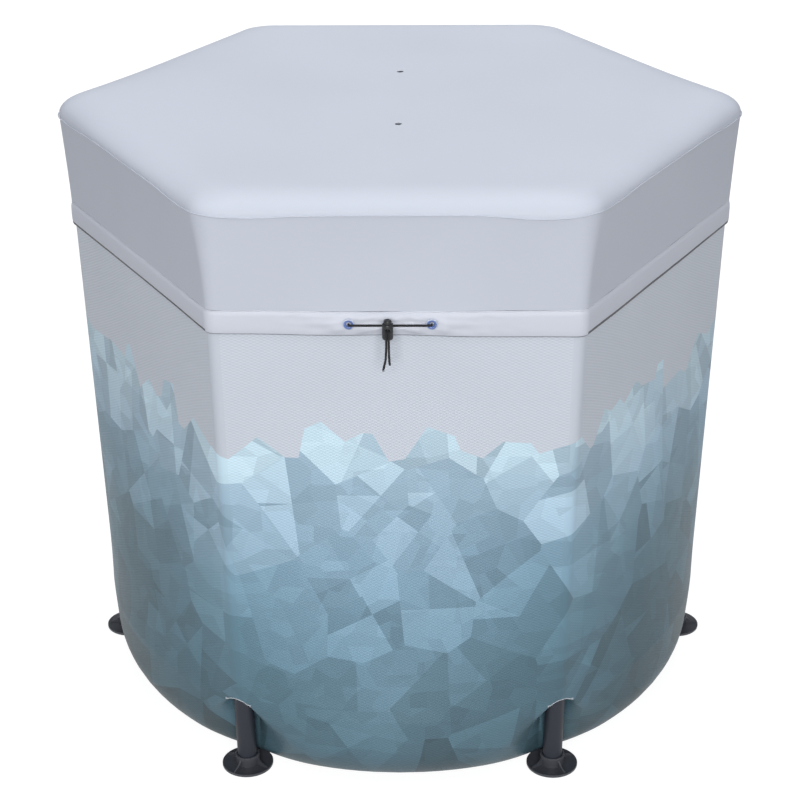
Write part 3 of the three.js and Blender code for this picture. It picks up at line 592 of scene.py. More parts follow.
def foot_mesh():
    """Flange with a lip, collar and four thin gussets, joined, in the frame of the foot."""
    base, web_half = 2 * MM, 1.1 * MM
    flange = loose(lathe([(0, 0), *near(FLANGE_RADIUS, 0, (-0.6, 0), (0, 0.6)),
                          *near(FLANGE_RADIUS, FLANGE_THICKNESS, (0, -0.5), (-0.5, 0), (-1.2, 0),
                                (-1.92, -0.4)),
                          *near(0, FLANGE_THICKNESS, (0, -0.4))], 72))
    socket = TUBE_RADIUS + 0.4 * MM
    collar = lathe([(socket, LEG_SEAT), *near(socket, COLLAR_HEIGHT, (0, -0.5), (0.5, 0)),
                    *near(COLLAR_RADIUS, COLLAR_HEIGHT, (-0.6, 0), (0, -0.6)),
                    *near(COLLAR_RADIUS, base, (0.5, 0)), (0, base), (0, LEG_SEAT), (socket, LEG_SEAT)], 56)
    outline = [*near(COLLAR_RADIUS, base, (-1, 0)), *near(FLANGE_RADIUS, base, (-2, 0)),
               *near(FLANGE_RADIUS, FLANGE_THICKNESS, (-2, 0.5)), *near(COLLAR_RADIUS, 0, (6, 7.5)),
               *near(COLLAR_RADIUS, COLLAR_HEIGHT, (-1, -3))]
    web = [(x, y, z) for y in (-web_half, web_half) for x, z in outline], rod_faces(2, len(outline))
    webs = [loose(placed(web, spin(i * math.pi / 2, "Z"))) for i in range(4)]
    return combine(flange, [loose(placed(collar, spin(LEAN, "Y"))), *webs], "UNION")


def joint_mesh():
    """Ball hub with three collars and spigots, in the frame of the corner."""
    spigot = TUBE_RADIUS - TUBE_WALL - GAP
    ball = TUBE_RADIUS + 0.4 * MM
    root = 2 * MM
    arm = lathe([(0, root), *near(TUBE_RADIUS, root, (-0.6, 0), (0, 0.6)),
                 *near(TUBE_RADIUS, JOINT_COLLAR, (0, -0.6), (-0.6, 0)), (spigot, JOINT_COLLAR),
                 *near(spigot, SPIGOT_LENGTH, (0, -0.6), (-0.6, 0)), (0, SPIGOT_LENGTH)], 32)
    ways = [spin(LEAN, "Y") @ spin(math.pi, "X"), spin(HALF, "Z") @ spin(-math.pi / 2, "X"),
            spin(math.pi - HALF, "Z") @ spin(-math.pi / 2, "X")]
    hub = loose(lathe([polar(ball, a) for a in np.linspace(-math.pi / 2, math.pi / 2, 17)], 32))
    return combine(hub, [loose(placed(arm, way)) for way in ways], "UNION")


def build_frame():
    leg_length = RAIL_HEIGHT / math.cos(LEAN)
    leg = tube_shape(LEG_SEAT + GAP, leg_length - JOINT_COLLAR - GAP)
    rail_half = LEG_TOP_RADIUS / 2 - JOINT_COLLAR - GAP
    rail = tube_shape(-rail_half, rail_half)
    mouldings = {"foot": (foot_mesh(), shift(LEG_FOOT_RADIUS, 0, 0)),
                 "corner_joint": (joint_mesh(), shift(LEG_TOP_RADIUS, 0, RAIL_HEIGHT))}
    for k in range(SIDES):
        n = k + 1
        piece(f"leg_{n}_tube", placed(leg, at_leg(k)), "tub", "tube")
        piece(f"rail_{n}_tube", placed(rail, at_rail(k)), "tub", "tube")
        for name, (mesh, place) in mouldings.items():
            copy = mesh.copy()
            copy.transform(spin(k * SECTOR, "Z") @ place)
            piece(f"{name}_{n}_moulding", copy, "tub", "fitting")


# Wall

def hull_radius(angle, leg, round_, middle):
    """Distance of the wall at an angle from a leg: round over the leg, the side bulged to its middle."""
    mx, my = math.cos(HALF), math.sin(HALF)
    rest = middle - round_
    e = (leg ** 2 - rest ** 2) / (2 * (leg * mx - rest))
    side = middle - e
    touch = math.atan2(-e * my, leg - e * mx)
    tangent = math.atan2(round_ * math.sin(touch), leg + round_ * math.cos(touch))
    a = abs(angle)
    cx, cy, r = (leg, 0, round_) if a < tangent else (e * mx, e * my, side)
    along = cx * math.cos(a) + cy * math.sin(a)
    return along + math.sqrt(max(along ** 2 - cx ** 2 - cy ** 2 + r ** 2, 0))


def middle_at(z):
    if z < SLIT_HEIGHT:
        return BASE_RADIUS
    full = BASE_RADIUS - flat_apothem(SLIT_HEIGHT)
    left = max(1 - (z - SLIT_HEIGHT) / (FLAT_HEIGHT - SLIT_HEIGHT), 0)
    return flat_apothem(z) + max(full * left ** BULGE_POWER, 0.4 * MM)


def bay_radius(z):
    """The wall keeps inside a bare leg, and below inside the foot's collar and gussets."""
    down = clamp((z - FLANGE_THICKNESS) / (COLLAR_HEIGHT - 3 * MM - FLANGE_THICKNESS))
    foot_reach = FLANGE_RADIUS + (COLLAR_RADIUS - FLANGE_RADIUS) * down
    reach = foot_reach if z < COLLAR_HEIGHT + BAY_PLAY else TUBE_RADIUS
    return leg_radius(z) - reach - BAY_PLAY


def wall_radius(a, z, roll, bare):
    """Distance of the sheet from the tub's axis; behind a bare leg it goes in to a bay."""
    def around(angle):
        mix = smooth(z / SLIT_HEIGHT)
        hull = hull_radius(angle, leg_radius(z), SKIN_RADIUS, middle_at(z))
        return BASE_RADIUS * (1 - mix) + hull * mix - roll

    if not bare:
        return around(a)
    width = min(SLIT_HALF + BAY_SPREAD * (SLIT_HEIGHT - z), BAY_HALF)
    depth = max(around(0) - bay_radius(z), 0)
    return around(a) - depth * clamp((width - abs(a) * BASE_RADIUS) / (width - BAY_FLAT)) ** 2


def wall_rows():
    """Rows of the sheet as (height, roll inwards, behind the bare leg)."""
    rolled = np.radians(np.linspace(-90, 0, 13))
    above = [SLIT_HEIGHT, SLIT_HEIGHT + CUT_EDGE, *np.linspace(SLIT_HEIGHT, RAIL_HEIGHT, 75)[1:]]
    rows = [(BASE_ROLL * (1 + math.sin(a)), BASE_ROLL * (1 - math.cos(a)), True) for a in rolled]
    rows += [(z, 0, True) for z in np.linspace(BASE_ROLL, SLIT_HEIGHT, 22)[1:]]
    return rows + [(z, 0, False) for z in above]


def build_wall():
    half_angles = [d * MM / BASE_RADIUS for d in WALL_COLUMNS] + [HALF]
    angles = [-a for a in reversed(half_angles[1:-1])] + half_angles
    columns = [(k, a) for k in range(SIDES) for a in angles]
    n = len(columns)
    rows = wall_rows()
    slit_row = next(i for i, (_, _, bare) in enumerate(rows) if not bare)
    points = []
    for z, roll, bare in rows:
        for k, a in columns:
            arch = SLIT_ARCH * max(1 - (a * BASE_RADIUS / SLIT_HALF) ** 2, 0)
            fade = max(1 - abs(z - SLIT_HEIGHT) / ARCH_FADE, 0)
            r = wall_radius(a, min(z, RAIL_HEIGHT), roll, bare)
            points.append((*polar(r, a + k * SECTOR), z + arch * fade))
    # unwrapped height runs up from the widest circle; the rolled edge continues below it
    up = [BASE_ROLL * (1 - math.acos(max(1 - roll / BASE_ROLL, -1))) if roll else z for z, roll, _ in rows]
    along = [BASE_RADIUS * (k * SECTOR + a) for k, a in columns] + [BASE_RADIUS * (2 * math.pi + angles[0])]
    faces, looks, strips, uvs = [], [], [], []
    for i in range(len(rows) - 1):
        if i == slit_row - 1:
            continue
        for j in range(n):
            q = (j + 1) % n
            away = max(abs(columns[j][1]), abs(columns[q][1])) * BASE_RADIUS - 1e-9
            on_edge = i == slit_row and away < SLIT_HALF
            at_end = slit_row - 2 <= i <= slit_row and SLIT_HALF < away < SLIT_HALF + SLIT_END
            faces.append((i * n + j, i * n + q, (i + 1) * n + q, (i + 1) * n + j))
            looks.append(2 if on_edge or at_end else 0)
            strips.append(float(i >= slit_row and away <= STRIP_HALF))
            uvs.append([(along[u], up[v]) for u, v in ((j, i), (j + 1, i), (j + 1, i + 1), (j, i + 1))])
    mesh = bpy.data.meshes.new("wall_sheet")
    mesh.from_pydata(points, [], faces)
    mesh.uv_layers.new(name="wrap").data.foreach_set("uv", np.array(uvs, np.float32).ravel())
    mesh.attributes.new("strip", "FLOAT", "FACE").data.foreach_set("value", np.array(strips, np.float32))
    mesh.polygons.foreach_set("material_index", looks)
    mend(mesh, 2e-6)
    for look in ("wall", "liner", "rim"):
        mesh.materials.append(MATERIALS[look])
    mesh = thickened(mesh, WALL_THICKNESS, material_offset=1, material_offset_rim=2)
    sheet = piece("wall_sheet", mesh, "tub", "wall")


# Inside of the tub: pockets of the legs, sleeves of the rails, floor

def arc(radius, start, end, steps):
    return [polar(radius, a) for a in np.linspace(start, end, steps + 1)]


def touch(point, radius, side):
    """Angle at which a tangent from a point touches a circle about the origin."""
    x, y = point
    return math.atan2(y, x) + side * math.acos(radius / math.hypot(x, y))


def length_of(path):
    return float(np.sum(np.linalg.norm(np.diff(np.array(path), axis=0), axis=1)))


def ribbon(path, thickness, start, end, rows):
    """A strip of a flat path's shape along Z, with a round of its long edges."""
    path = np.array(path)
    along = np.gradient(path, axis=0)
    along /= np.linalg.norm(along, axis=1)[:, None]
    across = np.column_stack([-along[:, 1], along[:, 0]])
    outline = np.vstack([path + across * thickness / 2, path[::-1] - across[::-1] * thickness / 2])
    n = len(outline)
    points = [(x, y, z) for z in np.linspace(start, end, rows) for x, y in outline]
    faces = ring_faces(rows, n)
    for i in range(len(path) - 1):
        last = (rows - 1) * n
        faces.append((i + 1, i, n - 1 - i, n - 2 - i))
        faces.append((last + i, last + i + 1, last + n - 2 - i, last + n - 1 - i))
    return points, faces


def pocket_strip():
    """Strip over a leg, welded to the wall on both sides: its shape and flat size."""
    off = TUBE_RADIUS + SKIN_PLAY - LINER_GAP - LINER_THICKNESS / 2
    bend = TUBE_RADIUS + SKIN_PLAY + LINER_THICKNESS / 2
    flap = [tuple(np.array(polar(off, HALF)) + polar(d, HALF + math.pi / 2)) for d in POCKET_FLAPS]
    begin = touch(flap[-1], bend, 1)
    path = flap + arc(bend, begin, 2 * math.pi - begin, 16) + [(x, -y) for x, y in reversed(flap)]
    shape = ribbon(path, LINER_THICKNESS, POCKET_LOW, POCKET_HIGH, 12)
    return shape, (length_of(path), POCKET_HIGH - POCKET_LOW)


def sleeve_loop():
    """Loop round a rail, with a flap down the wall: its shape and flat size."""
    bend = TUBE_RADIUS + SLEEVE_PLAY + LINER_THICKNESS / 2
    behind = WALL_THICKNESS + LINER_GAP + LINER_THICKNESS / 2 + RAIL_APOTHEM
    knee, end = [(flat_apothem(RAIL_HEIGHT + z) - behind, z) for z in SLEEVE_FLAPS]
    path = arc(bend, GAP / bend, touch(knee, bend, -1) + 2 * math.pi, 28) + [knee, end]
    shape = ribbon(path, LINER_THICKNESS, -SLEEVE_HALF, SLEEVE_HALF, 16)
    return shape, (length_of(path), 2 * SLEEVE_HALF)


def build_floor():
    low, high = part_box("floor")
    radius = (high.x - low.x) / 2
    shares = [0, 0.12, 0.25, 0.4, 0.55, 0.7, 0.82, 0.9, 0.95, 0.98, 1]
    turns = np.linspace(0, 2 * math.pi, 97)[:-1]
    rows = []
    for layer, order in enumerate((shares, shares[::-1])):
        for share in order:
            ring = np.array([(*polar(radius * share, a), 0) for a in turns])
            lift = (FLOOR_WAVES[0] + ripples(ring, *FLOOR_WAVES)) * smooth((1 - share) * 8)
            ring[:, 2] = low.z + layer * (high.z - low.z + lift)
            rows.append(ring)
    sheet = piece("floor_sheet", skin(rows), "tub", "liner")


def build_inside():
    pocket, pocket_flat = pocket_strip()
    sleeve, sleeve_flat = sleeve_loop()
    for k in range(SIDES):
        n = k + 1
        strip = piece(f"leg_pocket_{n}_strip", placed(pocket, at_leg(k)), "tub", "liner")
        loop = piece(f"rail_sleeve_{n}_loop", placed(sleeve, at_rail(k)), "tub", "liner")
    build_floor()


# Drain valve at the middle of the rear side, its axis along +Y
THREAD_PITCH = 2.6 * MM
NUT_RADIUS = 25 * MM
GRIPS = 8
GRIP_DEPTH = 2.6 * MM
CAP_RADIUS = 22 * MM
RIBS = 16
RIB_HEIGHT = 0.9 * MM


def build_drain():
    names = ("valve", "gasket", "nut", "cap", "cap_seal")
    valve, gasket, nut, cap, seal = (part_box(f"drain_{name}") for name in names)
    bore, stub, flange, spigot = 11 * MM, 15 * MM, 28 * MM, 18 * MM
    start, stop = (corner.y for corner in valve)
    face = gasket[1].y + GAP
    top = face + 3 * MM
    core = spigot - 0.7 * MM
    hollow, seal_top = spigot + GAP, seal[1].y + GAP

    def grips(q, z, a):
        return q if q < 20 * MM else q - GRIP_DEPTH * smooth((math.cos(GRIPS * a) - 0.35) / 0.5)

    def ribs(q, z, a):
        return q if q < 20.5 * MM else q + RIB_HEIGHT * smooth((math.cos(RIBS * a) + 0.2) / 0.8) - 0.2 * MM

    thread = []
    for y in np.arange(5) * THREAD_PITCH + THREAD_PITCH:
        thread += near(core, top + y, (0, 0.4), (0.6, 1.1), (0.6, 1.6), (0, 2.3))
    body = [(bore, start), *near(stub, start, (-0.8, 0), (0, 0.8)), (stub, face),
            *near(flange, face, (-0.8, 0), (0, 0.8)), *near(flange, top, (0, -0.8), (-0.8, 0)), (core, top),
            *thread, *near(core, stop, (0, -0.8), (-0.8, 0)), *near(bore, stop, (0.8, 0), (0, -0.8)),
            (bore, start)]
    cup = [(hollow, cap[0].y), *near(CAP_RADIUS, cap[0].y, (-0.5, 0), (0, 0.5)),
           *near(CAP_RADIUS, cap[1].y, (0, -2.4), (-0.7, -0.8), (-2.4, 0)),
           *near(0, cap[1].y, (14, 0), (13.4, -0.5), (0, -0.5)), (0, seal_top), (hollow, seal_top),
           (hollow, cap[0].y)]
    disc = [*near(0, seal[0].y, (0, 0.3), (9, 0.3), (10, 0)),
            *near(spigot - GAP, seal[0].y, (-0.3, 0), (0, 0.3)),
            *near(spigot - GAP, seal[1].y, (0, -0.3), (-0.3, 0)), (0, seal[1].y)]
    ring = washer(stub + GAP, flange - 0.9 * MM, gasket[0].y, gasket[1].y, 0.3, 0.3)
    knob = washer(stub + GAP, NUT_RADIUS, nut[0].y, nut[1].y, 1.2, 0.8)
    place = shift(0, 0, (valve[0].z + valve[1].z) / 2) @ spin(-math.pi / 2, "X")
    for name, shape, rides, look in (("drain_valve_body", lathe(body, 72), "tub", "fitting"),
                                     ("drain_gasket_ring", lathe(ring, 72), "tub", "rubber"),
                                     ("drain_nut_ring", lathe(knob, 160, grips), "tub", "fitting"),
                                     ("drain_cap_shell", lathe(cup, 192, ribs), "drain_cap", "fitting"),
                                     ("drain_cap_seal_disc", lathe(disc, 64), "drain_seal", "rubber")):
        piece(name, placed(shape, place), rides, look)


# Cover: top, skirt, welded seam and hem, drawn close to the wall
# rings of the top: degrees of the roll over the edge, then millimetres in from the seam
TOP_ROLL_TURNS = [0, 5, 10, 16, 23, 30, 38, 47, 57, 68, 79, 90]
TOP_RINGS = [54, 64, 80, 102, 130, 160, 200, 245, 290, 330, 360]
DRAIN_HOLE_RADIUS = 4.5 * MM
DRAIN_HOLE_PLACE = 115 * MM
HEM_PROFILE = near(0, 0, (0.9, 33), (1.5, 32.9), (1.8, 32.4), (1.75, 31.7), (1.5, 31.2), (1.75, 30.4),
                   (2.3, 29.2), (2.7, 27), (2.82, 25), (2.9, 23), (2.94, 21), (2.95, 19), (2.94, 16.5),
                   (2.9, 14), (2.84, 11.5), (2.75, 9), (2.6, 7.2), (2.4, 5.5), (2.1, 3.6), (1.75, 2.2),
                   (1.2, 1.4), (0.6, 1.2), (0.2, 1.9), (0, 5), (0, 14), (0, 24), (0.1, 31), (0.4, 32.8))


def cover_sheet(rows, capped=False):
    """A sheet through rings of points, thickened inwards; capped closes the last ring at its middle."""
    n, last = len(rows[0]), (len(rows) - 1) * len(rows[0])
    points, faces = skin(rows)
    if capped:
        points.append(np.mean(rows[-1], axis=0))
        faces += [(last + j, last + (j + 1) % n, len(points) - 1) for j in range(n)]
    mesh = mesh_of((points, faces))
    first = mesh.polygons[0]
    if first.normal.dot(first.center - Vector((0, 0, 0.7))) < 0:
        mesh.flip_normals()
    return thickened(mesh, COVER_THICKNESS)


def seam_dip(ring):
    """The seam hangs a little lower beside the corners than between them, most at the front right."""
    turn = np.arctan2(ring[:, 1], ring[:, 0])
    along = SEAM_APOTHEM * np.tan(np.mod(turn, SECTOR) - HALF)
    front_right = (turn > -math.pi / 2) & (turn < -SECTOR)
    depth = SEAM_DIP + np.where(front_right, SEAM_DIP_FRONT, 0.0)
    return -depth * hump(np.abs(along), SEAM_DIP_AT, SEAM_DIP_HALF)


def hem_hang(ring):
    """The lower edge of the hem is drawn up by the cord and hangs lower towards the front right."""
    front = np.clip(-ring[:, 1] / FRONT_DEPTH, 0, 1)
    return front * (HEM_LIFT * hump(ring[:, 0], CORD_MIDDLE, HEM_LIFT_HALF) - HEM_TILT * ring[:, 0])


def corner_lift(ring):
    """The joints at the left and right push the cover up."""
    corner = SEAM_APOTHEM / math.cos(HALF)
    away = [np.hypot(ring[:, 0] - x, ring[:, 1]) for x in (corner, -corner)]
    return sum(CORNER_LIFT * hump(far, 0, CORNER_REACH) for far in away)


def front_swell(ring):
    """The front of the hem stands off the wall where the cord draws it together."""
    return np.where(ring[:, 1] < -FRONT_DEPTH, HEM_SWELL * hump(ring[:, 0], CORD_MIDDLE, SWELL_HALF, 4), 0.0)


def gathers(ring, swing):
    """Small folds beside the eyelets and between them."""
    x, y, z = ring.T
    aside = np.abs(x - CORD_MIDDLE)
    folds = GATHER_OUT * hump(x, CORD_MIDDLE, GATHER_HALF, 4)
    folds += GATHER_FOLD * np.cos(aside * 2 * math.pi / GATHER_PITCH) * hump(x, CORD_MIDDLE, GATHER_HALF)
    for eye in EYELETS:
        folds += EYE_FOLD * hump(np.abs(x - eye), EYE_FOLD_AT, EYE_FOLD_HALF)
        folds -= EYE_DENT * hump(x, eye, EYE_DENT_HALF)
    creases = ripples(np.column_stack([aside + 1.5 * z, 0 * z, 2.2 * z]), *HEM_CREASES)
    folds += creases * hump(x, CORD_MIDDLE, SWELL_HALF, 4)
    return np.where(y < -FRONT_DEPTH, swing * folds, 0.0)


def build_top():
    """Crowned panel that rolls over the rails, with two drain holes."""
    edge, top = SEAM_HEIGHT + GAP, COVER_TOP + TOP_CROWN
    rows = []
    for a in np.radians(TOP_ROLL_TURNS):
        rise = math.sin(a)
        apothem = SEAM_APOTHEM - TOP_ROLL * (1 - math.cos(a))
        ring, _ = hex_ring(apothem, SEAM_CORNER, edge + (top - edge) * rise)
        ring[:, 2] += corner_lift(ring) * rise ** 0.6 + seam_dip(ring) * (1 - rise) ** 2
        rows.append(ring)
    for d in TOP_RINGS:
        apothem = SEAM_APOTHEM - d * MM
        ring, _ = hex_ring(apothem, min(SEAM_CORNER, 0.6 * apothem), top)
        ring[:, 2] += corner_lift(ring)
        uneven = ripples(ring, *TOP_WAVES) + ripples(ring, *TOP_GRAIN)
        ring[:, 2] += smooth((d - 60) / 60) * uneven
        rows.append(ring)
    drill = lathe(near(DRAIN_HOLE_RADIUS, COVER_TOP, (0, -6), (0, 6)), 40)
    drills = [loose(placed(drill, shift(0, y, 0))) for y in (DRAIN_HOLE_PLACE, -DRAIN_HOLE_PLACE)]
    mesh = combine(linked("loose", cover_sheet(rows, capped=True)), drills, "DIFFERENCE")
    return piece("cover_top_panel", mesh, "cover", "cover")


def build_skirt():
    low_apothem = HEM_INSIDE + SKIRT_OUT
    bottom = HEM_TOP + GAP
    rows = []
    for f in np.linspace(0, 1, 20):
        flare = f ** SKIRT_FLARE
        apothem = low_apothem + (f + flare) / 2 * (SEAM_APOTHEM - low_apothem)
        corner = SKIRT_CORNER + flare * (SEAM_CORNER - SKIRT_CORNER)
        ring, normals = hex_ring(apothem, corner, bottom + f * (SEAM_HEIGHT - bottom))
        uneven = ripples(ring, *SKIRT_WAVES, rise=0.5) + ripples(ring, *SKIRT_GRAIN)
        out = math.sin(math.pi * f) ** 0.7 * uneven
        ring[:, 2] += seam_dip(ring) * f ** 3
        ring[:, :2] += normals * (out + front_swell(ring) * (1 - f) ** 2)[:, None]
        rows.append(ring)
    return piece("cover_skirt_panel", cover_sheet(rows), "cover", "cover")


def build_seam():
    rows = []
    for a in np.linspace(0, 2 * math.pi, 13)[:-1]:
        out = GAP + SEAM_BEAD * (1 + math.cos(a))
        ring, _ = hex_ring(SEAM_APOTHEM + out, SEAM_CORNER + out, SEAM_HEIGHT + SEAM_BEAD * math.sin(a))
        ring[:, 2] += seam_dip(ring) + ripples(ring, *SEAM_WAVES)
        rows.append(ring)
    return piece("cover_seam_bead", skin(rows, closed=True), "cover", "cover")


def build_hem():
    """Flat tube of the folded hem, with a weld line along its top and a band of painted shadow along its
    lower edge.
    """
    rows = []
    for u, z in HEM_PROFILE:
        up = z / (HEM_TOP - HEM_BOTTOM)
        ring, normals = hex_ring(HEM_INSIDE + u, HEM_CORNER + u, HEM_BOTTOM + z, per_side=130)
        swing = smooth(u / (3 * MM)) * math.sin(math.pi * min(max(up, 0.06), 0.98)) ** 0.6
        out = swing * (ripples(ring, *HEM_WAVES, rise=0.25) + ripples(ring, *HEM_GRAIN))
        ring[:, :2] += normals * (out + front_swell(ring) + gathers(ring, swing))[:, None]
        ring[:, 2] += ripples(ring, *HEM_EDGE_WAVES, rise=0)
        ring[:, 2] += hem_hang(ring) * (1 - up)
        ring[:, 2] += ripples(ring, *WELD_WAVES) * min(up, 1) ** 6
        rows.append(ring)
    hem = piece("cover_hem_band", skin(rows, closed=True), "cover", "hem")
    hem.data.materials.append(MATERIALS["hem_shadow"])
    # painted shadow: the hem's faces up to these heights take the dark colour, higher on the sides than at
    # the front
    for face in hem.data.polygons:
        row = face.index // len(rows[0])
        edge = max(HEM_PROFILE[row][1], HEM_PROFILE[(row + 1) % len(rows)][1])
        front = face.normal.y < -0.6 * math.hypot(face.normal.x, face.normal.y)
        face.material_index = int(edge <= (PAINTED_SHADOW_FRONT if front else PAINTED_SHADOW_SIDES))
    return hem


def build_cover():
    panel, skirt, seam, hem = build_top(), build_skirt(), build_seam(), build_hem()


# Drawcord, eyelets and lock

def bent_path(points, bend, steps=8):
    """A line through points with its corners rounded to a radius."""
    points = [Vector(p) for p in points]
    out = [points[0]]
    for a, b, c in zip(points, points[1:], points[2:]):
        back, on = (a - b).normalized(), (c - b).normalized()
        turn = math.pi - back.angle(on)
        cut = min(bend * math.tan(turn / 2), 0.48 * (a - b).length, 0.48 * (c - b).length)
        start, end = b + back * cut, b + on * cut
        reach = 4 / 3 * math.tan(turn / 4) * cut / math.tan(turn / 2) if turn > 1e-4 else 0
        first, second = start - back * reach, end - on * reach
        for t in np.linspace(0, 1, steps + 1):
            u = 1 - t
            out.append(start * u ** 3 + first * (3 * u * u * t) + second * (3 * u * t * t) + end * t ** 3)
    out.append(points[-1])
    return out


def resampled(path, step):
    """Equally spaced points along a line."""
    points = np.array([tuple(p) for p in path])
    lengths = np.concatenate([[0], np.cumsum(np.linalg.norm(np.diff(points, axis=0), axis=1))])
    count = max(int(lengths[-1] / step), 8)
    at = np.linspace(0, lengths[-1], count + 1)
    return np.column_stack([np.interp(at, lengths, points[:, i]) for i in range(3)]), lengths[-1]


def braid(name, path, radius, step):
    """A round cord of two crossing strands along a path: the piece, its points and its length."""
    points, length = resampled(path, step)
    sides = 16
    up = Vector((0.3, 0.2, 0.93)).normalized()
    surface = []
    for i, p in enumerate(points):
        t = Vector(points[min(i + 1, len(points) - 1)] - points[max(i - 1, 0)]).normalized()
        up = (up - t * up.dot(t)).normalized()
        side = t.cross(up)
        s = length * i / (len(points) - 1)
        taper = min(1, 0.45 + 0.55 * math.sqrt(min(1.4 * min(s, length - s) / radius, 1)))
        for j in range(sides):
            a = 2 * math.pi * j / sides
            weave = math.sin(2 * a + BRAID_LAY * s / radius) * math.sin(2 * a - BRAID_LAY * s / radius)
            r = radius * (1 + BRAID_DEPTH * (weave - 1)) * taper
            surface.append(Vector(p) + (up * math.cos(a) + side * math.sin(a)) * r)
    return piece(name, (surface, rod_faces(len(points), sides)), "cover", "cord"), points, length


def nearest(ring, x, y):
    return int(np.argmin(np.hypot(ring[:, 0] - x, ring[:, 1] - y)))


def build_cord():
    """Two tails from the eyelets through the lock, and the run inside the hem."""
    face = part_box("cover_hem")[0].y
    lock_low, lock_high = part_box("cord_lock_body")
    lock_x, lock_y = (lock_low.x + lock_high.x) / 2, (lock_low.y + lock_high.y) / 2
    out_y, run_y, tail_y = face + 1 * MM, face - 4.3 * MM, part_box("drawcord_left")[0].y + CORD_RADIUS
    bend_z = lock_low.z - 6 * MM
    lock = build_lock(lock_x, lock_y)
    for side, eye, x, sway in (("left", EYELETS[0], lock_x - CORD_ASIDE, -4 * MM),
                               ("right", EYELETS[1], lock_x + CORD_ASIDE, 1 * MM)):
        end_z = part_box(f"drawcord_{side}")[0].z
        route = [(eye, out_y, CORD_HEIGHT), (eye, run_y, CORD_HEIGHT), (x, run_y, CORD_HEIGHT),
                 (x, tail_y, CORD_HEIGHT), (x, tail_y, bend_z),
                 (x + 0.2 * sway, tail_y, (bend_z + end_z) / 2),
                 (x + sway, tail_y, end_z + CORD_RADIUS * 0.2)]
        path = bent_path(route, CORD_BEND)
        cord, points, length = braid(f"drawcord_{side}_braid", path, CORD_RADIUS, 0.5 * MM)
        extra = [*lock, melted_tip(points)] if side == "left" else []
        build_eyelet(side, eye)
    inside = HEM_INSIDE + HEM_CORD
    ring, normals = hex_ring(inside, HEM_CORNER + HEM_CORD, CORD_HEIGHT, 12, 60)
    ring[:, :2] += normals * front_swell(ring)[:, None]
    ring = np.roll(ring, -nearest(ring, EYELETS[1] + CORD_ENTRY, -inside), axis=0)
    ring = ring[:nearest(ring, EYELETS[0] - CORD_ENTRY, -inside) + 1]
    run, points, length = braid("drawcord_hem_braid", ring, CORD_RADIUS * 0.85, 4 * MM)


def melted_tip(points):
    """Rounded pale bead on the end of the longer tail."""
    def lumps(q, z, a):
        return q * (1 + 0.06 * math.sin(3 * a + 4000 * z))

    r = CORD_RADIUS
    profile = [(0, -0.2), (0.8, -0.1), (1.04, 0.5), (0.95, 1.3), (0.6, 1.75), (0, 1.9)]
    way = Vector(points[-1] - points[-4]).normalized()
    place = shift(*(Vector(points[-1]) - way * 1.5 * r)) @ way.to_track_quat("Z", "Y").to_matrix().to_4x4()
    bead = lathe([(q * r, z * r) for q, z in profile], 24, lumps)
    return piece("drawcord_left_tip", placed(bead, place), "cover", "tip", node="")


def build_eyelet(side, x):
    """Clear ring with a round rim on the face of the hem and a barrel through it."""
    low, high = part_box(f"cord_eyelet_{side}")
    bore, barrel, rim = 2.7 * MM, 3.9 * MM, (high.x - low.x) / 2
    depth = high.y - low.y
    section = [(bore, depth), *near(bore, 0, (0, 2.1), (0.3, 0.7), (1.0, 0.1)), *near(barrel, 0, (0.9, 0)),
               *near(rim, 0, (-1.1, 0.15), (-0.3, 0.6), (0, 1.15), (-0.2, 1.5)), *near(barrel, 0, (0, 1.5)),
               (barrel, depth), (bore, depth)]
    place = shift(x, low.y, CORD_HEIGHT) @ spin(-math.pi / 2, "X")
    ring = piece(f"cord_eyelet_{side}_ring", placed(lathe(section, 56), place), "cover", "eyelet")
    ring.data.materials.append(MATERIALS["clear"])
    for face in ring.data.polygons:
        face.material_index = int(math.hypot(face.center.x - x, face.center.z - CORD_HEIGHT) > rim - 1.0 * MM)


def build_lock(x, y):
    """Barrel with a cross hole for both cords, and the button in it."""
    def drilled(section, segments, *heights):
        drill = lathe(near(LOCK_HOLE, 0, (0, -12), (0, 12)), 32)
        drills = [loose(placed(drill, shift(x, y, z) @ spin(math.pi / 2, "X"))) for z in heights]
        return combine(loose(placed(lathe(section, segments), shift(x, y, 0))), drills, "DIFFERENCE")

    low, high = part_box("cord_lock_body")
    r = (high.x - low.x) / 2
    well = r - LOCK_WALL
    section = [*near(0, low.z, (0, 0.2)),
               *near(r, low.z, (-2.6, 0), (-0.75, 0.5), (-0.1, 1.5), (0, 3), (0, 4.4), (-0.45, 4.8),
                     (-0.45, 5.2), (0, 5.6)),
               *near(r, high.z, (0, -1.2), (-0.35, -0.4), (-0.9, 0)),
               *near(well, high.z, (0.3, 0), (0, -0.4)), *near(well, low.z, (0, 1.7)),
               *near(0, low.z, (0, 1.7))]
    barrel = drilled(section, 56, CORD_HEIGHT)
    body = piece("cord_lock_barrel", barrel, "cover", "lock", node="cord_lock_body")
    low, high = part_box("cord_lock_button")
    r = (high.x - low.x) / 2
    section = [(0, low.z), *near(r, low.z, (-0.4, 0), (0, 0.4)),
               *near(r, high.z, (0, -1.6), (-0.35, -0.6), (-1.2, -0.1), (-1.9, 0), (-2.4, -0.35)),
               *near(0, high.z, (0, -0.55))]
    plunger = drilled(section, 48, CORD_HEIGHT, CORD_HEIGHT + PRESS)
    button = piece("cord_lock_plunger", plunger, "cord_lock_button", "lock", node="cord_lock_button")
    build_spring(x, y)
    return body, button


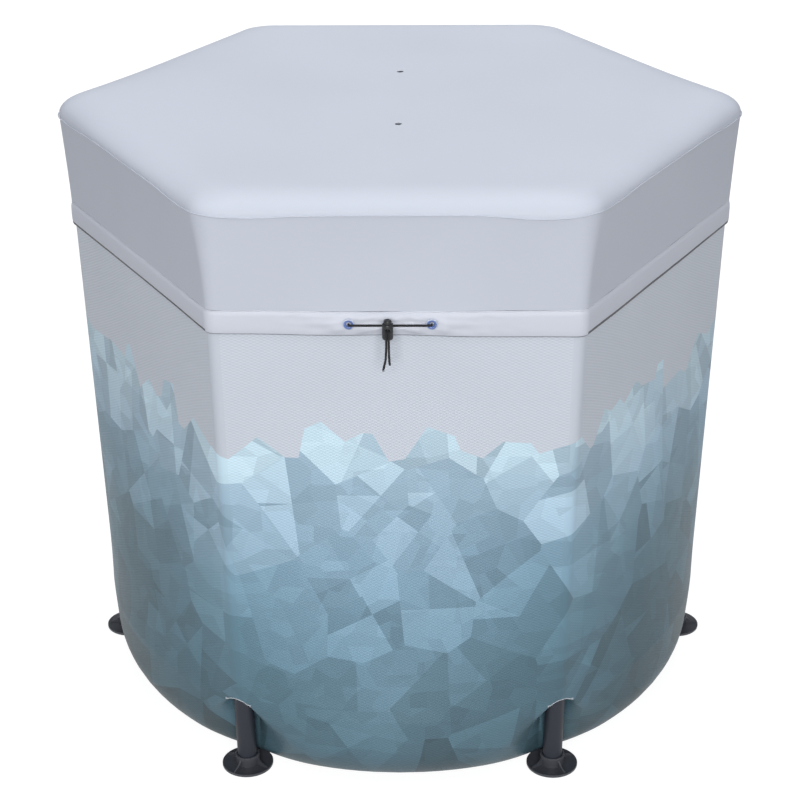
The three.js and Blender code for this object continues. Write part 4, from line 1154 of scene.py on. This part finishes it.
def build_spring(x, y):
    """Coil under the button."""
    low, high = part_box("cord_lock_spring")
    height = high.z - low.z
    around = (high.x - low.x) / 2 - SPRING_WIRE
    steps, sides = 24 * SPRING_TURNS, 10
    points = []
    for i in range(steps + 1):
        z = low.z + SPRING_WIRE + (height - 2 * SPRING_WIRE) * i / steps
        for j in range(sides):
            out, up = polar(SPRING_WIRE, 2 * math.pi * j / sides)
            points.append((*polar(around + out, 2 * math.pi * SPRING_TURNS * i / steps), z + up))
    shape = placed((points, rod_faces(steps + 1, sides)), shift(x, y, 0))
    coil = piece("cord_lock_spring_coil", shape, "cover", "steel")
    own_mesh(coil)


# Stage, light and camera
FLOOR_HALF = 30
FLOOR_COLOR = (0.2, 0.2, 0.203)
FLOOR_GLOW = 0.9
SKY_COLOR = (0.86, 0.96, 1.12)
SKY_STRENGTH = 0.15
# name: place, target, size and power
LIGHTS = {
    "key": ((0, -4.5, 2.15), (0, 0, 0.45), (3.2, 2.0), 184),
    "top": ((0, 1.3, 4.2), (0, 0.15, 0.6), (3.0, 3.0), 89),
    "rear": ((0, 4.5, 2.15), (0, 0, 0.45), (3.2, 2.0), 70),
    "left": ((-1.7, -0.9, 1.9), (0, 0, 0.75), (1.0, 1.0), 7),
    "right": ((1.7, -0.9, 1.9), (0, 0, 0.75), (1.0, 1.0), 7),
}


def build_stage():
    """Floor that glows white to the camera and in reflections, and else takes light as grey."""
    corners = [(-FLOOR_HALF, -FLOOR_HALF, 0), (FLOOR_HALF, -FLOOR_HALF, 0), (FLOOR_HALF, FLOOR_HALF, 0),
               (-FLOOR_HALF, FLOOR_HALF, 0)]
    mesh = bpy.data.meshes.new("floor_plane")
    mesh.from_pydata(corners, [], [(0, 1, 2, 3)])
    m = bpy.data.materials.new("pale_floor")
    m.use_nodes = True
    tree = m.node_tree
    tree.nodes.clear()
    ray = add_node(tree, "LightPath").outputs
    seen = ray["Is Camera Ray"]
    for kind in ("Is Glossy Ray", "Is Transmission Ray"):
        seen = add_node(tree, "Math", {0: seen, 1: ray[kind]}, operation="MAXIMUM").outputs[0]
    strength = add_node(tree, "Math", {0: seen, 1: FLOOR_GLOW}, operation="MULTIPLY").outputs[0]
    glow = add_node(tree, "Emission", {"Strength": strength}).outputs[0]
    diffuse = add_node(tree, "BsdfDiffuse", {0: FLOOR_COLOR}).outputs[0]
    both = add_node(tree, "AddShader", {0: diffuse, 1: glow}).outputs[0]
    add_node(tree, "OutputMaterial", {0: both})
    mesh.materials.append(m)
    linked("floor_plane", mesh)


def build_light():
    world = bpy.data.worlds.new("studio")
    world.use_nodes = True
    sky = world.node_tree.nodes["Background"]
    put(sky.inputs[0], SKY_COLOR)
    put(sky.inputs[1], SKY_STRENGTH)
    bpy.context.scene.world = world
    for name, (place, target, size, power) in LIGHTS.items():
        lamp = bpy.data.lights.new(name, "AREA")
        lamp.shape = "RECTANGLE"
        lamp.size, lamp.size_y = size
        lamp.energy = power
        obj = linked(name, lamp)
        obj.location = place
        obj.rotation_euler = (Vector(target) - Vector(place)).to_track_quat("-Z", "Y").to_euler()
        obj.visible_camera = False
        obj.visible_glossy = name != "rear"


CAMERA_PLACE = Vector((33.0, -2534.6, 1562.1)) * MM
CAMERA_PITCH = math.radians(25.351)
CAMERA_HEADING = math.radians(0.745)
CAMERA_ROLL = math.radians(-0.333)
FOCAL_PIXELS = 2031.486
IMAGE_PIXELS = 800
CENTRE_SHIFT_PIXELS = 1.09


def build_camera():
    data = bpy.data.cameras.new("camera")
    data.sensor_width = 36
    data.lens = data.sensor_width * FOCAL_PIXELS / IMAGE_PIXELS
    data.shift_x = -CENTRE_SHIFT_PIXELS / IMAGE_PIXELS
    camera = linked("camera", data)
    turn = spin(CAMERA_HEADING, "Z") @ spin(math.pi / 2 - CAMERA_PITCH, "X") @ spin(CAMERA_ROLL, "Z")
    camera.matrix_world = shift(*CAMERA_PLACE) @ turn
    bpy.context.scene.camera = camera


build_frame()
build_wall()
build_inside()
build_drain()
build_cover()
build_cord()
build_stage()
build_light()
build_camera()
bpy.context.scene.view_settings.view_transform = "Standard"
